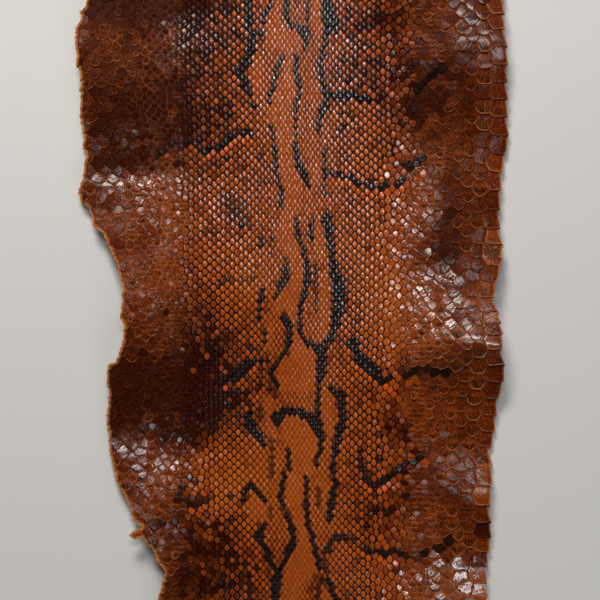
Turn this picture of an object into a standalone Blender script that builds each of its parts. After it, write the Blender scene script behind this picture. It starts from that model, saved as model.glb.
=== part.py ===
"""A length of dressed python skin, cut across at both ends, lying flat with its scales up.

The skin is one piece. It runs along Y with the head end at +Y, its spine lies on the surface
that it rests on, and its flanks rise in soft folds. The right side ends along the belly in a
row of wide scutes. The left side is cut and torn through the flank scales.
"""

import math

import bmesh
import bpy
import numpy as np
from mathutils import Vector
from mathutils.geometry import delaunay_2d_cdt

MM = 0.001

# Driving dimensions, in millimetres
HALF_LENGTH = 275.0
SKIN_THICKNESS = 1.6
SCUTE_DEPTH = 15.0
SCUTE_RISE = 1.1
SCUTE_STEP = 1.3
SCUTE_NOTCH = 1.5
BACK_SPACING = 11.0
UNDERSIDE_SPACING = 14.0
EDGE_SPACING = 9.0
EDGE_CLEARANCE = 3.2
HOLE_SIDES = 7

# The torn left edge from the head end to the tail end, in millimetres
LEFT_EDGE = [
    (-166, 275), (-164, 262), (-167, 251), (-165, 240), (-166, 234), (-171, 230), (-168.5, 227),
    (-172.5, 218), (-173.5, 208), (-172.5, 200), (-171, 194), (-172, 187), (-169, 182),
    (-168.5, 171), (-169.5, 168), (-168.5, 163), (-170, 147), (-167.5, 135), (-167, 129),
    (-168, 123), (-165, 114), (-167, 108), (-168.5, 95), (-171, 87), (-169, 78), (-163, 74),
    (-160, 66), (-159, 59), (-150.5, 53), (-147, 44), (-143, 37), (-139, 28.5), (-136.5, 19),
    (-134.5, 10), (-134.5, 1), (-136.5, -13), (-133, -20), (-134, -31), (-138, -42),
    (-141, -50), (-146.5, -51), (-147.5, -55.5), (-148.5, -67), (-146.5, -74), (-148, -86),
    (-149, -97), (-147, -109), (-146.5, -118), (-144.5, -130), (-141, -142), (-139, -149),
    (-134, -156), (-128, -167), (-129, -171), (-124.5, -177), (-119, -180.5), (-127, -184),
    (-130, -187), (-125.5, -190), (-119, -187.5), (-116, -193.5), (-111, -197.5),
    (-106.5, -208.5), (-101.5, -214), (-102.5, -221), (-105.5, -233), (-108, -240),
    (-109.5, -252), (-107, -264), (-109.5, -275),
]

# The point at the tail end of each belly scute's free edge, from head to tail, in millimetres
SCUTE_TIPS = [
    (168.5, 268), (169.5, 254.5), (168.5, 241), (168.5, 227), (168.5, 215.5), (171, 201),
    (171, 187), (171, 173.5), (172, 160.5), (172, 146.5), (173.5, 131.5), (170.5, 117.5),
    (167.5, 103), (166.5, 88), (165.5, 72), (165.5, 57), (168, 42), (165.5, 28), (161.5, 14.5),
    (159.5, 2.5), (163.5, -11), (165, -18), (166, -26.5), (165, -38.5), (168.5, -51.5),
    (167.5, -64.5), (164, -78.5), (163, -92), (162, -105), (159, -118), (160, -132.5),
    (159, -147), (157, -164.5), (159, -177.5), (159, -190), (157.5, -200.5), (155.5, -213),
    (155, -226), (156.5, -240), (155.5, -254), (156.5, -267),
]

# Where the outermost scales start on each flank at mid length, and how they lean along Y
FLANK_LINES = {-1: (-160.0, -0.095), 1: (150.0, 0.026)}

# Bands of scales along each flank, outermost first: how far in they start and end, the gap
# between columns, the pitch along the skin, the rise, and how far apart the two crowns are
FLANK_BANDS = [
    (0.0, 46.0, 7.6, 13.8, 1.3, 6.0),
    (51.5, 72.0, 5.2, 9.2, 0.9, 0.0),
]
CROWN_TOWARDS_TAIL = 0.26

# Holes left by the pins that once stretched the skin: centre x and y, and radius
PIN_HOLES = [(157.0, 37.5, 1.2), (150.0, -125.5, 1.4), (-126.5, 13.5, 1.9)]

# Each fold: crest from its outer to its inner end, the rise at the outer end, and the
# half-widths of the slopes that face the head end and the tail end, all in millimetres
FOLDS = [
    ((-173, 192), (-38, 166), 13.0, 40.0, 62.0),
    ((-140, 6), (-26, 12), 20.0, 62.0, 78.0),
    ((-116, -206), (-34, -198), 16.0, 62.0, 55.0),
    ((172, 205), (46, 214), 14.0, 48.0, 56.0),
    ((166, -36), (40, -22), 21.0, 96.0, 44.0),
    ((158, -160), (82, -158), 10.0, 30.0, 30.0),
    ((156, -262), (48, -258), 13.0, 46.0, 40.0),
    ((120, 84), (36, 96), 4.0, 26.0, 40.0),
]

# Sharper creases on the folds, written as the folds are
CREASES = [
    ((-172, 92), (-36, 86), 3.0, 8.0, 17.0),
    ((168, -37), (76, -33), 3.6, 10.0, 9.0),
    ((-146, -124), (-70, -146), 2.6, 13.0, 20.0),
]

FOLD_END_FADE = 22.0

SKIN_COLOUR = (0.23, 0.058, 0.015, 1.0)
SKIN_ROUGHNESS = 0.32
SKIN_METALLIC = 0.0


def clear_scene():
    """Remove every object that the file opened with."""
    for old in list(bpy.data.objects):
        bpy.data.objects.remove(old)


def fold_height(x, y, fold):
    """Height that one fold lifts the skin at x and y."""
    outer, inner, rise, head_width, tail_width = fold
    run_x = inner[0] - outer[0]
    run_y = inner[1] - outer[1]
    run = math.hypot(run_x, run_y)
    along = ((x - outer[0]) * run_x + (y - outer[1]) * run_y) / run
    across = y - (outer[1] + run_y * np.clip(along / run, 0.0, 1.0))
    width = np.where(across > 0.0, head_width, tail_width)
    fade = np.clip(1.0 - along / run, 0.0, 1.0)
    smooth_fade = fade * fade * (3.0 - 2.0 * fade)
    beyond = np.clip(-along - FOLD_END_FADE, 0.0, None)
    return rise * smooth_fade * np.exp(-((across / width) ** 2) - (beyond / FOLD_END_FADE) ** 2)


def underside_height(x, y):
    """Height of the skin's flesh side above the surface that it lies on."""
    total = np.zeros_like(x)
    for fold in FOLDS + CREASES:
        total = total + fold_height(x, y, fold)
    lifted = np.clip(total - 0.6, 0.0, None)
    return lifted * lifted / (lifted + 0.6)


def spaced(start, end, spacing):
    """Points from start up to but not including end, no further apart than spacing."""
    count = max(1, math.ceil(math.dist(start, end) / spacing))
    return [
        (start[0] + (end[0] - start[0]) * i / count, start[1] + (end[1] - start[1]) * i / count)
        for i in range(count)
    ]


def scalloped_edge():
    """The belly edge from the head end to the tail end, with a notch under each scute's tip."""
    points = []
    for index, (x, y) in enumerate(SCUTE_TIPS):
        points.append((x, y))
        points.append((x - SCUTE_NOTCH, y - SCUTE_STEP))
        if index + 1 < len(SCUTE_TIPS):
            next_x, next_y = SCUTE_TIPS[index + 1]
            points.append(((x + next_x) / 2 - 0.6 * SCUTE_NOTCH, (y + next_y) / 2))
    return points


def outline():
    """The skin's whole outline, clockwise from the head end's left corner."""
    right = [(SCUTE_TIPS[0][0], HALF_LENGTH)] + scalloped_edge() + [(SCUTE_TIPS[-1][0], -HALF_LENGTH)]
    corners = [LEFT_EDGE[0]] + right + LEFT_EDGE[:0:-1]
    points = []
    for start, end in zip(corners, corners[1:] + corners[:1]):
        points += spaced(start, end, EDGE_SPACING)
    return points


def hole_outline(x, y, radius):
    """A pin hole's outline."""
    turns = [2.0 * math.pi * i / HOLE_SIDES for i in range(HOLE_SIDES)]
    return [(x + radius * math.cos(t), y + radius * math.sin(t)) for t in turns]


def inside(x, y, loop):
    """True where a point lies inside a closed loop."""
    found = np.zeros(np.shape(x), bool)
    for (ax, ay), (bx, by) in zip(loop, loop[1:] + loop[:1]):
        if ay == by:
            continue
        crosses = ((ay > y) != (by > y)) & (x < ax + (y - ay) * (bx - ax) / (by - ay))
        found ^= crosses
    return found


def distance_to(x, y, loop):
    """Distance from each point to a closed loop."""
    least = np.full(np.shape(x), 1e9)
    for (ax, ay), (bx, by) in zip(loop, loop[1:] + loop[:1]):
        dx, dy = bx - ax, by - ay
        share = np.clip(((x - ax) * dx + (y - ay) * dy) / (dx * dx + dy * dy), 0.0, 1.0)
        least = np.minimum(least, np.hypot(x - ax - share * dx, y - ay - share * dy))
    return least


class Surface:
    """Points and fixed edges of one face of the skin, before they are joined by triangles."""

    def __init__(self, loops):
        self.loops = loops
        self.points = []
        self.rises = []
        self.edges = []
        for loop in loops:
            first = len(self.points)
            for i, (x, y) in enumerate(loop):
                self.points.append((x, y))
                self.rises.append(0.0)
                self.edges.append((first + i, first + (i + 1) % len(loop)))
        self.boundary = len(self.points)

    def add(self, x, y, rise=0.0):
        """Add one point and return its number."""
        self.points.append((x, y))
        self.rises.append(rise)
        return len(self.points) - 1

    def triangles(self):
        """Join the points by triangles that fill the outline and leave the holes open."""
        flat = [Vector(p) for p in self.points]
        verts, _, faces, origins, _, _ = delaunay_2d_cdt(flat, self.edges, [], 0, 1e-6)
        number = [sources[0] for sources in origins]
        kept = []
        for face in faces:
            corners = [verts[i] for i in face]
            x = sum(c.x for c in corners) / 3.0
            y = sum(c.y for c in corners) / 3.0
            shells = [bool(inside(np.array(x), np.array(y), loop)) for loop in self.loops]
            if shells[0] and not any(shells[1:]):
                kept.append([number[i] for i in face])
        return kept


def free_points(candidates, loops, taken, clearance, apart):
    """The candidates that lie inside the outline, clear of its edges and of taken points."""
    x = np.array([c[0] for c in candidates])
    y = np.array([c[1] for c in candidates])
    clear = inside(x, y, loops[0])
    for loop in loops:
        clear &= distance_to(x, y, loop) > clearance
    if len(taken):
        others = np.array(taken)
        gaps = np.hypot(x[:, None] - others[None, :, 0], y[:, None] - others[None, :, 1])
        clear &= gaps.min(axis=1) > apart
    return [c for c, good in zip(candidates, clear) if good]


def staggered_grid(spacing):
    """Points of an even triangular grid over the whole skin."""
    row_gap = spacing * math.sqrt(3.0) / 2.0
    rows = int(HALF_LENGTH / row_gap) + 1
    columns = int(HALF_LENGTH / spacing)
    return [
        ((column + 0.5 * (row % 2)) * spacing, row * row_gap)
        for row in range(-rows, rows + 1)
        for column in range(-columns, columns + 1)
    ]


def inside_scutes(points):
    """The points that keep clear of the row of belly scutes."""
    heights = [tip[1] for tip in reversed(SCUTE_TIPS)]
    places = [tip[0] for tip in reversed(SCUTE_TIPS)]
    limit = SCUTE_DEPTH + EDGE_CLEARANCE
    return [p for p in points if p[0] < np.interp(p[1], heights, places) - limit]


def add_scutes(surface):
    """Raise a ridge along each belly scute's free edge, with a step down below it."""
    tips = {tip: number for number, tip in enumerate(surface.points[: surface.boundary])}
    for x, y in SCUTE_TIPS:
        tip = tips[(x, y)]
        surface.rises[tip] = 0.6 * SCUTE_RISE
        middle = surface.add(x - 0.5 * SCUTE_DEPTH, y + 0.6, SCUTE_RISE)
        inner = surface.add(x - SCUTE_DEPTH, y + 2.4, 0.5 * SCUTE_RISE)
        step = surface.add(x - 0.5 * SCUTE_DEPTH, y + 0.6 - SCUTE_STEP)
        surface.edges += [(tip, middle), (middle, inner), (tip + 1, step), (step, inner)]


def add_flank_scales(surface, side, band):
    """Raise one band of scales along one flank, each highest towards the tail."""
    start, end, column, pitch, rise, crown_gap = band
    line, lean = FLANK_LINES[side]
    columns = int((end - start) / column) + 1
    count = int(2.0 * HALF_LENGTH / pitch)
    corners, crowns = {}, []
    for k in range(-count, count + 1):
        y = 0.5 * k * pitch
        for i in range(columns):
            x = line + lean * y - side * (start + i * column)
            if (i + k) % 2:
                corners[(x, y)] = (i, k)
            else:
                crown_y = y - CROWN_TOWARDS_TAIL * pitch
                crowns += sorted({(x - crown_gap / 2, crown_y), (x + crown_gap / 2, crown_y)})
    taken = list(surface.points[surface.boundary:])
    numbers = {}
    room = (surface.loops, taken, EDGE_CLEARANCE, EDGE_CLEARANCE)
    for x, y in free_points(inside_scutes(corners), *room):
        numbers[corners[(x, y)]] = surface.add(x, y)
    for x, y in free_points(inside_scutes(crowns), *room):
        surface.add(x, y, rise)
    for (i, k), number in numbers.items():
        for other in ((i + 1, k + 1), (i + 1, k - 1)):
            if other in numbers:
                surface.edges.append((number, numbers[other]))


def scaled_side(loops):
    """The upper face: belly scutes, large flank scales and the smoother back."""
    surface = Surface(loops)
    add_scutes(surface)
    for side in (-1, 1):
        for band in FLANK_BANDS:
            add_flank_scales(surface, side, band)
    taken = list(surface.points[surface.boundary:])
    for x, y in free_points(
        staggered_grid(BACK_SPACING), loops, taken, 0.45 * BACK_SPACING, 0.72 * BACK_SPACING
    ):
        surface.add(x, y)
    return surface


def flesh_side(loops):
    """The lower face, a plain coarser net on the same outline."""
    surface = Surface(loops)
    grid = staggered_grid(UNDERSIDE_SPACING)
    for x, y in free_points(grid, loops, [], 0.45 * UNDERSIDE_SPACING, 0.0):
        surface.add(x, y)
    return surface


def add_points(mesh, surface, thickness):
    """Put a face's points into the mesh at their heights, thickness above the underside."""
    x = np.array([p[0] for p in surface.points])
    y = np.array([p[1] for p in surface.points])
    z = underside_height(x, y) + thickness + np.array(surface.rises)
    if thickness == 0.0:
        z = underside_height(x, y)
    return [mesh.verts.new((a * MM, b * MM, c * MM)) for a, b, c in zip(x, y, z)]


def make_skin_mesh():
    """The skin as one closed sheet."""
    loops = [outline()] + [hole_outline(*hole) for hole in PIN_HOLES]
    upper, lower = scaled_side(loops), flesh_side(loops)
    mesh = bmesh.new()
    top = add_points(mesh, upper, SKIN_THICKNESS)
    bottom = add_points(mesh, lower, 0.0)
    for face in upper.triangles():
        mesh.faces.new([top[i] for i in face])
    for face in lower.triangles():
        mesh.faces.new([bottom[i] for i in reversed(face)])
    for a, b in lower.edges[: lower.boundary]:
        mesh.faces.new([top[a], top[b], bottom[b]])
        mesh.faces.new([top[a], bottom[b], bottom[a]])
    bmesh.ops.recalc_face_normals(mesh, faces=mesh.faces)
    data = bpy.data.meshes.new("skin")
    mesh.to_mesh(data)
    mesh.free()
    data.shade_smooth()
    data.set_sharp_from_angle(angle=math.radians(32.0))
    return data


def skin_material():
    """Dyed and varnished leather."""
    material = bpy.data.materials.new("dressed_skin")
    material.use_nodes = True
    shader = material.node_tree.nodes["Principled BSDF"]
    shader.inputs["Base Color"].default_value = SKIN_COLOUR
    shader.inputs["Roughness"].default_value = SKIN_ROUGHNESS
    shader.inputs["Metallic"].default_value = SKIN_METALLIC
    return material


def main():
    """Model the skin."""
    clear_scene()
    data = make_skin_mesh()
    data.materials.append(skin_material())
    skin = bpy.data.objects.new("skin", data)
    bpy.context.scene.collection.objects.link(skin)


main()
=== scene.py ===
"""Looks of a length of dressed python skin that lies flat with its scales up.

The skin is one sheet. Its upper side is made scale by scale: every scale is the cell of one site, with
a groove at its border and a raised body inside. Narrow back scales run down the middle, wider ones
cover the flanks and a row of belly scutes ends the right side. Sizes are in millimetres until a mesh
is made. Places read off the photograph are in its pixels, from its top left corner.
"""

import logging
import math
from dataclasses import dataclass, field
from enum import Enum
from typing import Any, Callable, Sequence, Union

import bpy
import numpy as np
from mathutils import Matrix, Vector
from mathutils.geometry import delaunay_2d_cdt
from mathutils.kdtree import KDTree


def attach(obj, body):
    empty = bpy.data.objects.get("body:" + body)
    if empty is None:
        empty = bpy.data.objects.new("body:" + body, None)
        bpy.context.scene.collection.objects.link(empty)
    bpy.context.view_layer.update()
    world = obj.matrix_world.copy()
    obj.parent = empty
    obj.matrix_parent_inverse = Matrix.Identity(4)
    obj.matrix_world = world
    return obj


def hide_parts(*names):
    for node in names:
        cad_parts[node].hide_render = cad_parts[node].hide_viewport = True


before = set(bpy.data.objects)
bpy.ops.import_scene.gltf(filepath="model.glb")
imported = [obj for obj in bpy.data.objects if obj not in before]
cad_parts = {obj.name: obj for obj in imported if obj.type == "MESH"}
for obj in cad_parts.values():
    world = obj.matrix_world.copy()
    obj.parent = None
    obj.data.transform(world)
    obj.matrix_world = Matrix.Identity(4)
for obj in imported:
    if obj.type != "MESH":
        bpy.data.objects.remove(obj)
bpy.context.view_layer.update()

Place = tuple[float, float]
Places = tuple[Place, ...]
Colour = tuple[int, int, int]
Array = np.ndarray

log = logging.getLogger("python_skin")

MM = 0.001
PIXEL = 0.8
PHOTO_SIDE = 600
ORIGIN_PIXEL = (292.85, 300.0)
BODY = "root"
NODE = "skin"
BAKE_MAP = "OFBake"

HALF_LENGTH = 275.0
SKIN_THICKNESS = 1.6
SPINE_X = 4.6


def pixel_x(x: Array) -> Array:
    """Column of the photograph that shows a place at x."""
    return x / PIXEL + ORIGIN_PIXEL[0]


def pixel_y(y: Array) -> Array:
    """Row of the photograph that shows a place at y."""
    return ORIGIN_PIXEL[1] - y / PIXEL


def smooth(share: Array) -> Array:
    """A share from 0 to 1 with soft ends."""
    held = np.clip(share, 0.0, 1.0)
    return held * held * (3.0 - 2.0 * held)


def ramp(values: Array, start: float, run: float) -> Array:
    """A soft rise from 0 to 1 that starts at one value and takes a given run."""
    return smooth((values - start) / run)


def length_of(arms: Array) -> Array:
    """Length of each arm."""
    return np.hypot(arms[..., 0], arms[..., 1])


def doubled_areas(places: Array, faces: Array) -> Array:
    """Twice the area of each triangle, below zero when it runs clockwise."""
    a, b, c = (places[faces[:, i]] for i in range(3))
    return (b[:, 0] - a[:, 0]) * (c[:, 1] - a[:, 1]) - (b[:, 1] - a[:, 1]) * (c[:, 0] - a[:, 0])


def triangle_sides(triangles: Array) -> Array:
    """Every triangle's three sides, as pairs in rising order."""
    sides = np.concatenate([triangles[:, [0, 1]], triangles[:, [1, 2]], triangles[:, [2, 0]]])
    return np.sort(sides, axis=1)


def split_sides(loops: Array, samples: int) -> Array:
    """Points at even steps along the sides of closed loops."""
    share = (np.arange(samples) / samples)[:, None]
    onward = np.roll(loops, -1, axis=1)
    return (loops[:, :, None] * (1.0 - share) + onward[:, :, None] * share).reshape(len(loops), -1, 2)


# The lie of the skin


@dataclass(frozen=True)
class Fold:
    """One soft fold, highest at its outer end.

    Attributes:
        outer: outer end of the crest.
        inner: inner end, where the fold has died away.
        rise: height at the outer end.
        head_width: half-width of the slope that faces the head end.
        tail_width: half-width of the slope that faces the tail end.
        end_fade: how far past the outer end the fold keeps its height, before it dies away.
    """

    outer: Place
    inner: Place
    rise: float
    head_width: float
    tail_width: float
    end_fade: float = 22.0

    def height(self, x: Array, y: Array) -> Array:
        """Height that the fold gives the skin at x and y."""
        run_x = self.inner[0] - self.outer[0]
        run_y = self.inner[1] - self.outer[1]
        run = math.hypot(run_x, run_y)
        along = ((x - self.outer[0]) * run_x + (y - self.outer[1]) * run_y) / run
        across = y - (self.outer[1] + run_y * np.clip(along / run, 0.0, 1.0))
        width = np.where(across > 0.0, self.head_width, self.tail_width)
        fade = smooth(1.0 - along / run)
        beyond = np.clip(-along - self.end_fade, 0.0, None)
        return self.rise * fade * np.exp(-((across / width) ** 2) - (beyond / self.end_fade) ** 2)


@dataclass(frozen=True)
class Ripple:
    """A faint wave in the leather: its length, its bearing in degrees, its phase and its height."""

    length: float
    bearing: float
    phase: float
    height: float

    def at(self, x: Array, y: Array) -> Array:
        """Height of the wave at x and y, from 0 to twice its amplitude."""
        turn = math.radians(self.bearing)
        along = x * math.cos(turn) + y * math.sin(turn)
        return self.height * (1.0 + np.sin(2.0 * math.pi * along / self.length + self.phase))


@dataclass(frozen=True)
class Lie:
    """How the skin lies: folds and creases that rise towards the flanks, and faint ripples."""

    folds: tuple[Fold, ...] = (
        Fold((-173, 192), (-38, 166), 13.0, 40.0, 62.0),
        Fold((-140, 6), (-26, 12), 20.0, 62.0, 78.0),
        Fold((-116, -206), (-34, -198), 16.0, 62.0, 55.0),
        Fold((172, 205), (46, 214), 14.0, 48.0, 56.0),
        Fold((166, -36), (40, -22), 21.0, 96.0, 44.0),
        Fold((158, -160), (82, -158), 10.0, 30.0, 30.0),
        Fold((156, -262), (48, -258), 13.0, 46.0, 40.0),
        Fold((120, 84), (36, 96), 4.0, 26.0, 40.0),
        Fold((-172, 92), (-36, 86), 3.0, 8.0, 17.0),
        Fold((168, -37), (76, -33), 3.6, 10.0, 9.0),
        Fold((-146, -124), (-70, -146), 2.6, 13.0, 20.0),
    )
    ripples: tuple[Ripple, ...] = (
        Ripple(61.0, 74.0, 0.4, 0.32),
        Ripple(43.0, 118.0, 2.1, 0.22),
        Ripple(29.0, 35.0, 4.0, 0.13),
        Ripple(21.0, 96.0, 1.3, 0.09),
        Ripple(16.5, 152.0, 5.2, 0.06),
    )
    softening: float = 0.6
    ripple_start: float = 35.0
    ripple_full: float = 110.0

    def underside(self, x: Array, y: Array) -> Array:
        """Height of the flesh side above the surface that the skin lies on."""
        total = sum(fold.height(x, y) for fold in self.folds)
        lifted = np.clip(total - self.softening, 0.0, None)
        reach = smooth((np.abs(x - SPINE_X) - self.ripple_start) / (self.ripple_full - self.ripple_start))
        return lifted * lifted / (lifted + self.softening) + reach * sum(r.at(x, y) for r in self.ripples)


# The outline


@dataclass(frozen=True)
class Outline:
    """The cut and torn border of the skin, seen from above.

    Attributes:
        left_edge: the torn edge, from the head end to the tail end.
        scute_tips: the tail-end point of each belly scute's free edge, from head to tail.
        notch: how far the border steps in below a tip.
        step: how far below the tip that step ends.
        scute_curve: how late each scute's border swings out to the next tip.
        spacing: gap between the border's points.
        wear: how far the torn edge strays from its line.
        bin_height: height of the bins that speed up the border's tests.
    """

    left_edge: Places = (
        (-166, 275), (-164, 262), (-167, 251), (-165, 240), (-166, 234), (-171, 230), (-168.5, 227),
        (-172.5, 218), (-173.5, 208), (-172.5, 200), (-171, 194), (-172, 187), (-169, 182),
        (-168.5, 171), (-169.5, 168), (-168.5, 163), (-170, 147), (-167.5, 135), (-167, 129),
        (-168, 123), (-165, 114), (-167, 108), (-168.5, 95), (-171, 87), (-169, 78), (-163, 74),
        (-160, 66), (-159, 59), (-150.5, 53), (-147, 44), (-143, 37), (-139, 28.5), (-136.5, 19),
        (-134.5, 10), (-134.5, 1), (-136.5, -13), (-133, -20), (-134, -31), (-138, -42),
        (-141, -50), (-146.5, -51), (-147.5, -55.5), (-148.5, -67), (-146.5, -74), (-148, -86),
        (-149, -97), (-147, -109), (-146.5, -118), (-144.5, -130), (-141, -142), (-139, -149),
        (-134, -156), (-128, -167), (-129, -171), (-124.5, -177), (-119, -180.5), (-127, -184),
        (-130, -187), (-125.5, -190), (-119, -187.5), (-116, -193.5), (-111, -197.5),
        (-106.5, -208.5), (-101.5, -214), (-102.5, -221), (-105.5, -233), (-108, -240),
        (-109.5, -252), (-107, -264), (-109.5, -275),
    )
    scute_tips: Places = (
        (168.5, 268), (169.5, 254.5), (168.5, 241), (168.5, 227), (168.5, 215.5), (171, 201),
        (171, 187), (171, 173.5), (172, 160.5), (172, 146.5), (173.5, 131.5), (170.5, 117.5),
        (167.5, 103), (166.5, 88), (165.5, 72), (165.5, 57), (168, 42), (165.5, 28), (161.5, 14.5),
        (159.5, 2.5), (163.5, -11), (165, -18), (166, -26.5), (165, -38.5), (168.5, -51.5),
        (167.5, -64.5), (164, -78.5), (163, -92), (162, -105), (159, -118), (160, -132.5),
        (159, -147), (157, -164.5), (159, -177.5), (159, -190), (157.5, -200.5), (155.5, -213),
        (155, -226), (156.5, -240), (155.5, -254), (156.5, -267),
    )
    notch: float = 1.7
    step: float = 1.2
    scute_curve: float = 1.7
    spacing: float = 1.1
    wear: float = 0.45
    bin_height: float = 5.0

    def right_edge(self) -> list[Place]:
        """The scalloped belly border, from the head end to the tail end."""
        points: list[Place] = [(self.scute_tips[0][0] - 0.4, HALF_LENGTH)]
        for (x, y), (next_x, next_y) in zip(self.scute_tips, self.scute_tips[1:]):
            points.append((x, y))
            start_x = x - self.notch
            start_y = y - self.step
            for share in (0.0, 0.3, 0.6, 0.82):
                swing = share**self.scute_curve
                points.append((start_x + (next_x - start_x) * swing, start_y + (next_y - start_y) * share))
        x, y = self.scute_tips[-1]
        return [*points, (x, y), (x - self.notch, y - self.step), (x - 0.6 * self.notch, -HALF_LENGTH)]

    def loop(self) -> Array:
        """The whole border, counterclockwise seen from above, at an even spacing."""
        rng = np.random.default_rng(11)
        right = self.right_edge()
        corners = list(self.left_edge) + right[::-1]
        points: list[Place] = []
        for index, (start, end) in enumerate(zip(corners, corners[1:] + corners[:1])):
            count = max(1, round(math.dist(start, end) / self.spacing))
            torn = index < len(self.left_edge) - 1
            run = math.dist(start, end)
            for step in range(count):
                share = step / count
                stray = self.wear * rng.normal() * (1.0 if torn else 0.12) if step else 0.0
                across = ((end[1] - start[1]) / run, -(end[0] - start[0]) / run)
                points.append((
                    start[0] + (end[0] - start[0]) * share + across[0] * stray,
                    start[1] + (end[1] - start[1]) * share + across[1] * stray,
                ))
        return np.array(points)


class Border:
    """The outline's points, with tests of where a place lies."""

    def __init__(self, points: Array, bin_height: float) -> None:
        """Keep a closed border, cut into level bins for quick tests."""
        self.points = points
        self.ends = np.roll(points, -1, axis=0)
        self.bin_height = bin_height

    def locate(self, places: Array, reach: float) -> tuple[Array, Array]:
        """Find which places lie inside the border, and how far from it they are.

        Args:
            places: places, one a row.
            reach: the distance past which the exact one doesn't matter.

        Returns:
            True for each place inside, and each place's distance, at most reach.
        """
        inside = np.zeros(len(places), bool)
        gaps = np.full(len(places), reach)
        low_ends = np.minimum(self.points[:, 1], self.ends[:, 1])
        high_ends = np.maximum(self.points[:, 1], self.ends[:, 1])
        floor = places[:, 1].min()
        while floor <= places[:, 1].max():
            ceiling = floor + self.bin_height
            chosen = np.flatnonzero((places[:, 1] >= floor) & (places[:, 1] < ceiling))
            near = (high_ends > floor - reach) & (low_ends < ceiling + reach)
            if len(chosen) and near.any():
                inside[chosen], gaps[chosen] = self._against(places[chosen], near, reach)
            floor = ceiling
        return inside, gaps

    def _against(self, places: Array, near: Array, reach: float) -> tuple[Array, Array]:
        """Test some places against the border's nearby pieces."""
        start = self.points[near][None]
        end = self.ends[near][None]
        x = places[:, 0][:, None]
        y = places[:, 1][:, None]
        run = end - start
        rise = np.where(run[..., 1] == 0.0, 1e-12, run[..., 1])
        straddles = (start[..., 1] > y) != (end[..., 1] > y)
        crosses = straddles & (x < start[..., 0] + (y - start[..., 1]) * run[..., 0] / rise)
        length = (run**2).sum(axis=2)
        share = ((x - start[..., 0]) * run[..., 0] + (y - start[..., 1]) * run[..., 1]) / length
        share = np.clip(share, 0.0, 1.0)
        gap = np.hypot(x - start[..., 0] - share * run[..., 0], y - start[..., 1] - share * run[..., 1])
        return crosses.sum(axis=1) % 2 == 1, np.minimum(gap.min(axis=1), reach)


# The scales' places


class Kind(Enum):
    """What a site stands for."""

    BACK = 0
    SHOULDER = 1
    SIDE = 2
    FLANK = 3
    SCUTE = 4
    PUCKER = 5
    HOLE = 6
    OUTSIDE = 7


@dataclass(frozen=True)
class Band:
    """Columns of like scales along one flank.

    Attributes:
        kind: the kind of scale.
        first: distance in from the flank's line to the outermost column.
        columns: number of columns.
        gap: gap between the two outermost columns.
        closing: how much smaller each next gap is.
        pitch: length of a scale along the skin.
        jitter: how far sites stray, as a share of the pitch.
    """

    kind: Kind
    first: float
    columns: int
    gap: float
    closing: float
    pitch: float
    jitter: float

    def inward(self, column: int) -> float:
        """How far in from the flank's line a column stands."""
        return self.first + column * self.gap - self.closing * column * (column - 1) / 2.0


@dataclass(frozen=True)
class Flank:
    """One side's bands, counted in from a line that leans as the side does."""

    side: int
    line: float
    lean: float
    bands: tuple[Band, ...]

    def place_x(self, y: float, inward: float) -> float:
        """Where the line lies at y, moved inward, with a wander that grows away from the edge."""
        wander = 3.2 * math.sin(y / 23.0 + 1.9 * self.side) + 2.4 * math.sin(y / 9.7 + 0.7)
        return self.line + self.lean * y - self.side * inward + wander * min(max(inward, 0.0) / 60.0, 1.0)


@dataclass(frozen=True)
class PinHole:
    """A hole that a stretching pin has left: its centre and radius."""

    x: float
    y: float
    radius: float


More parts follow.
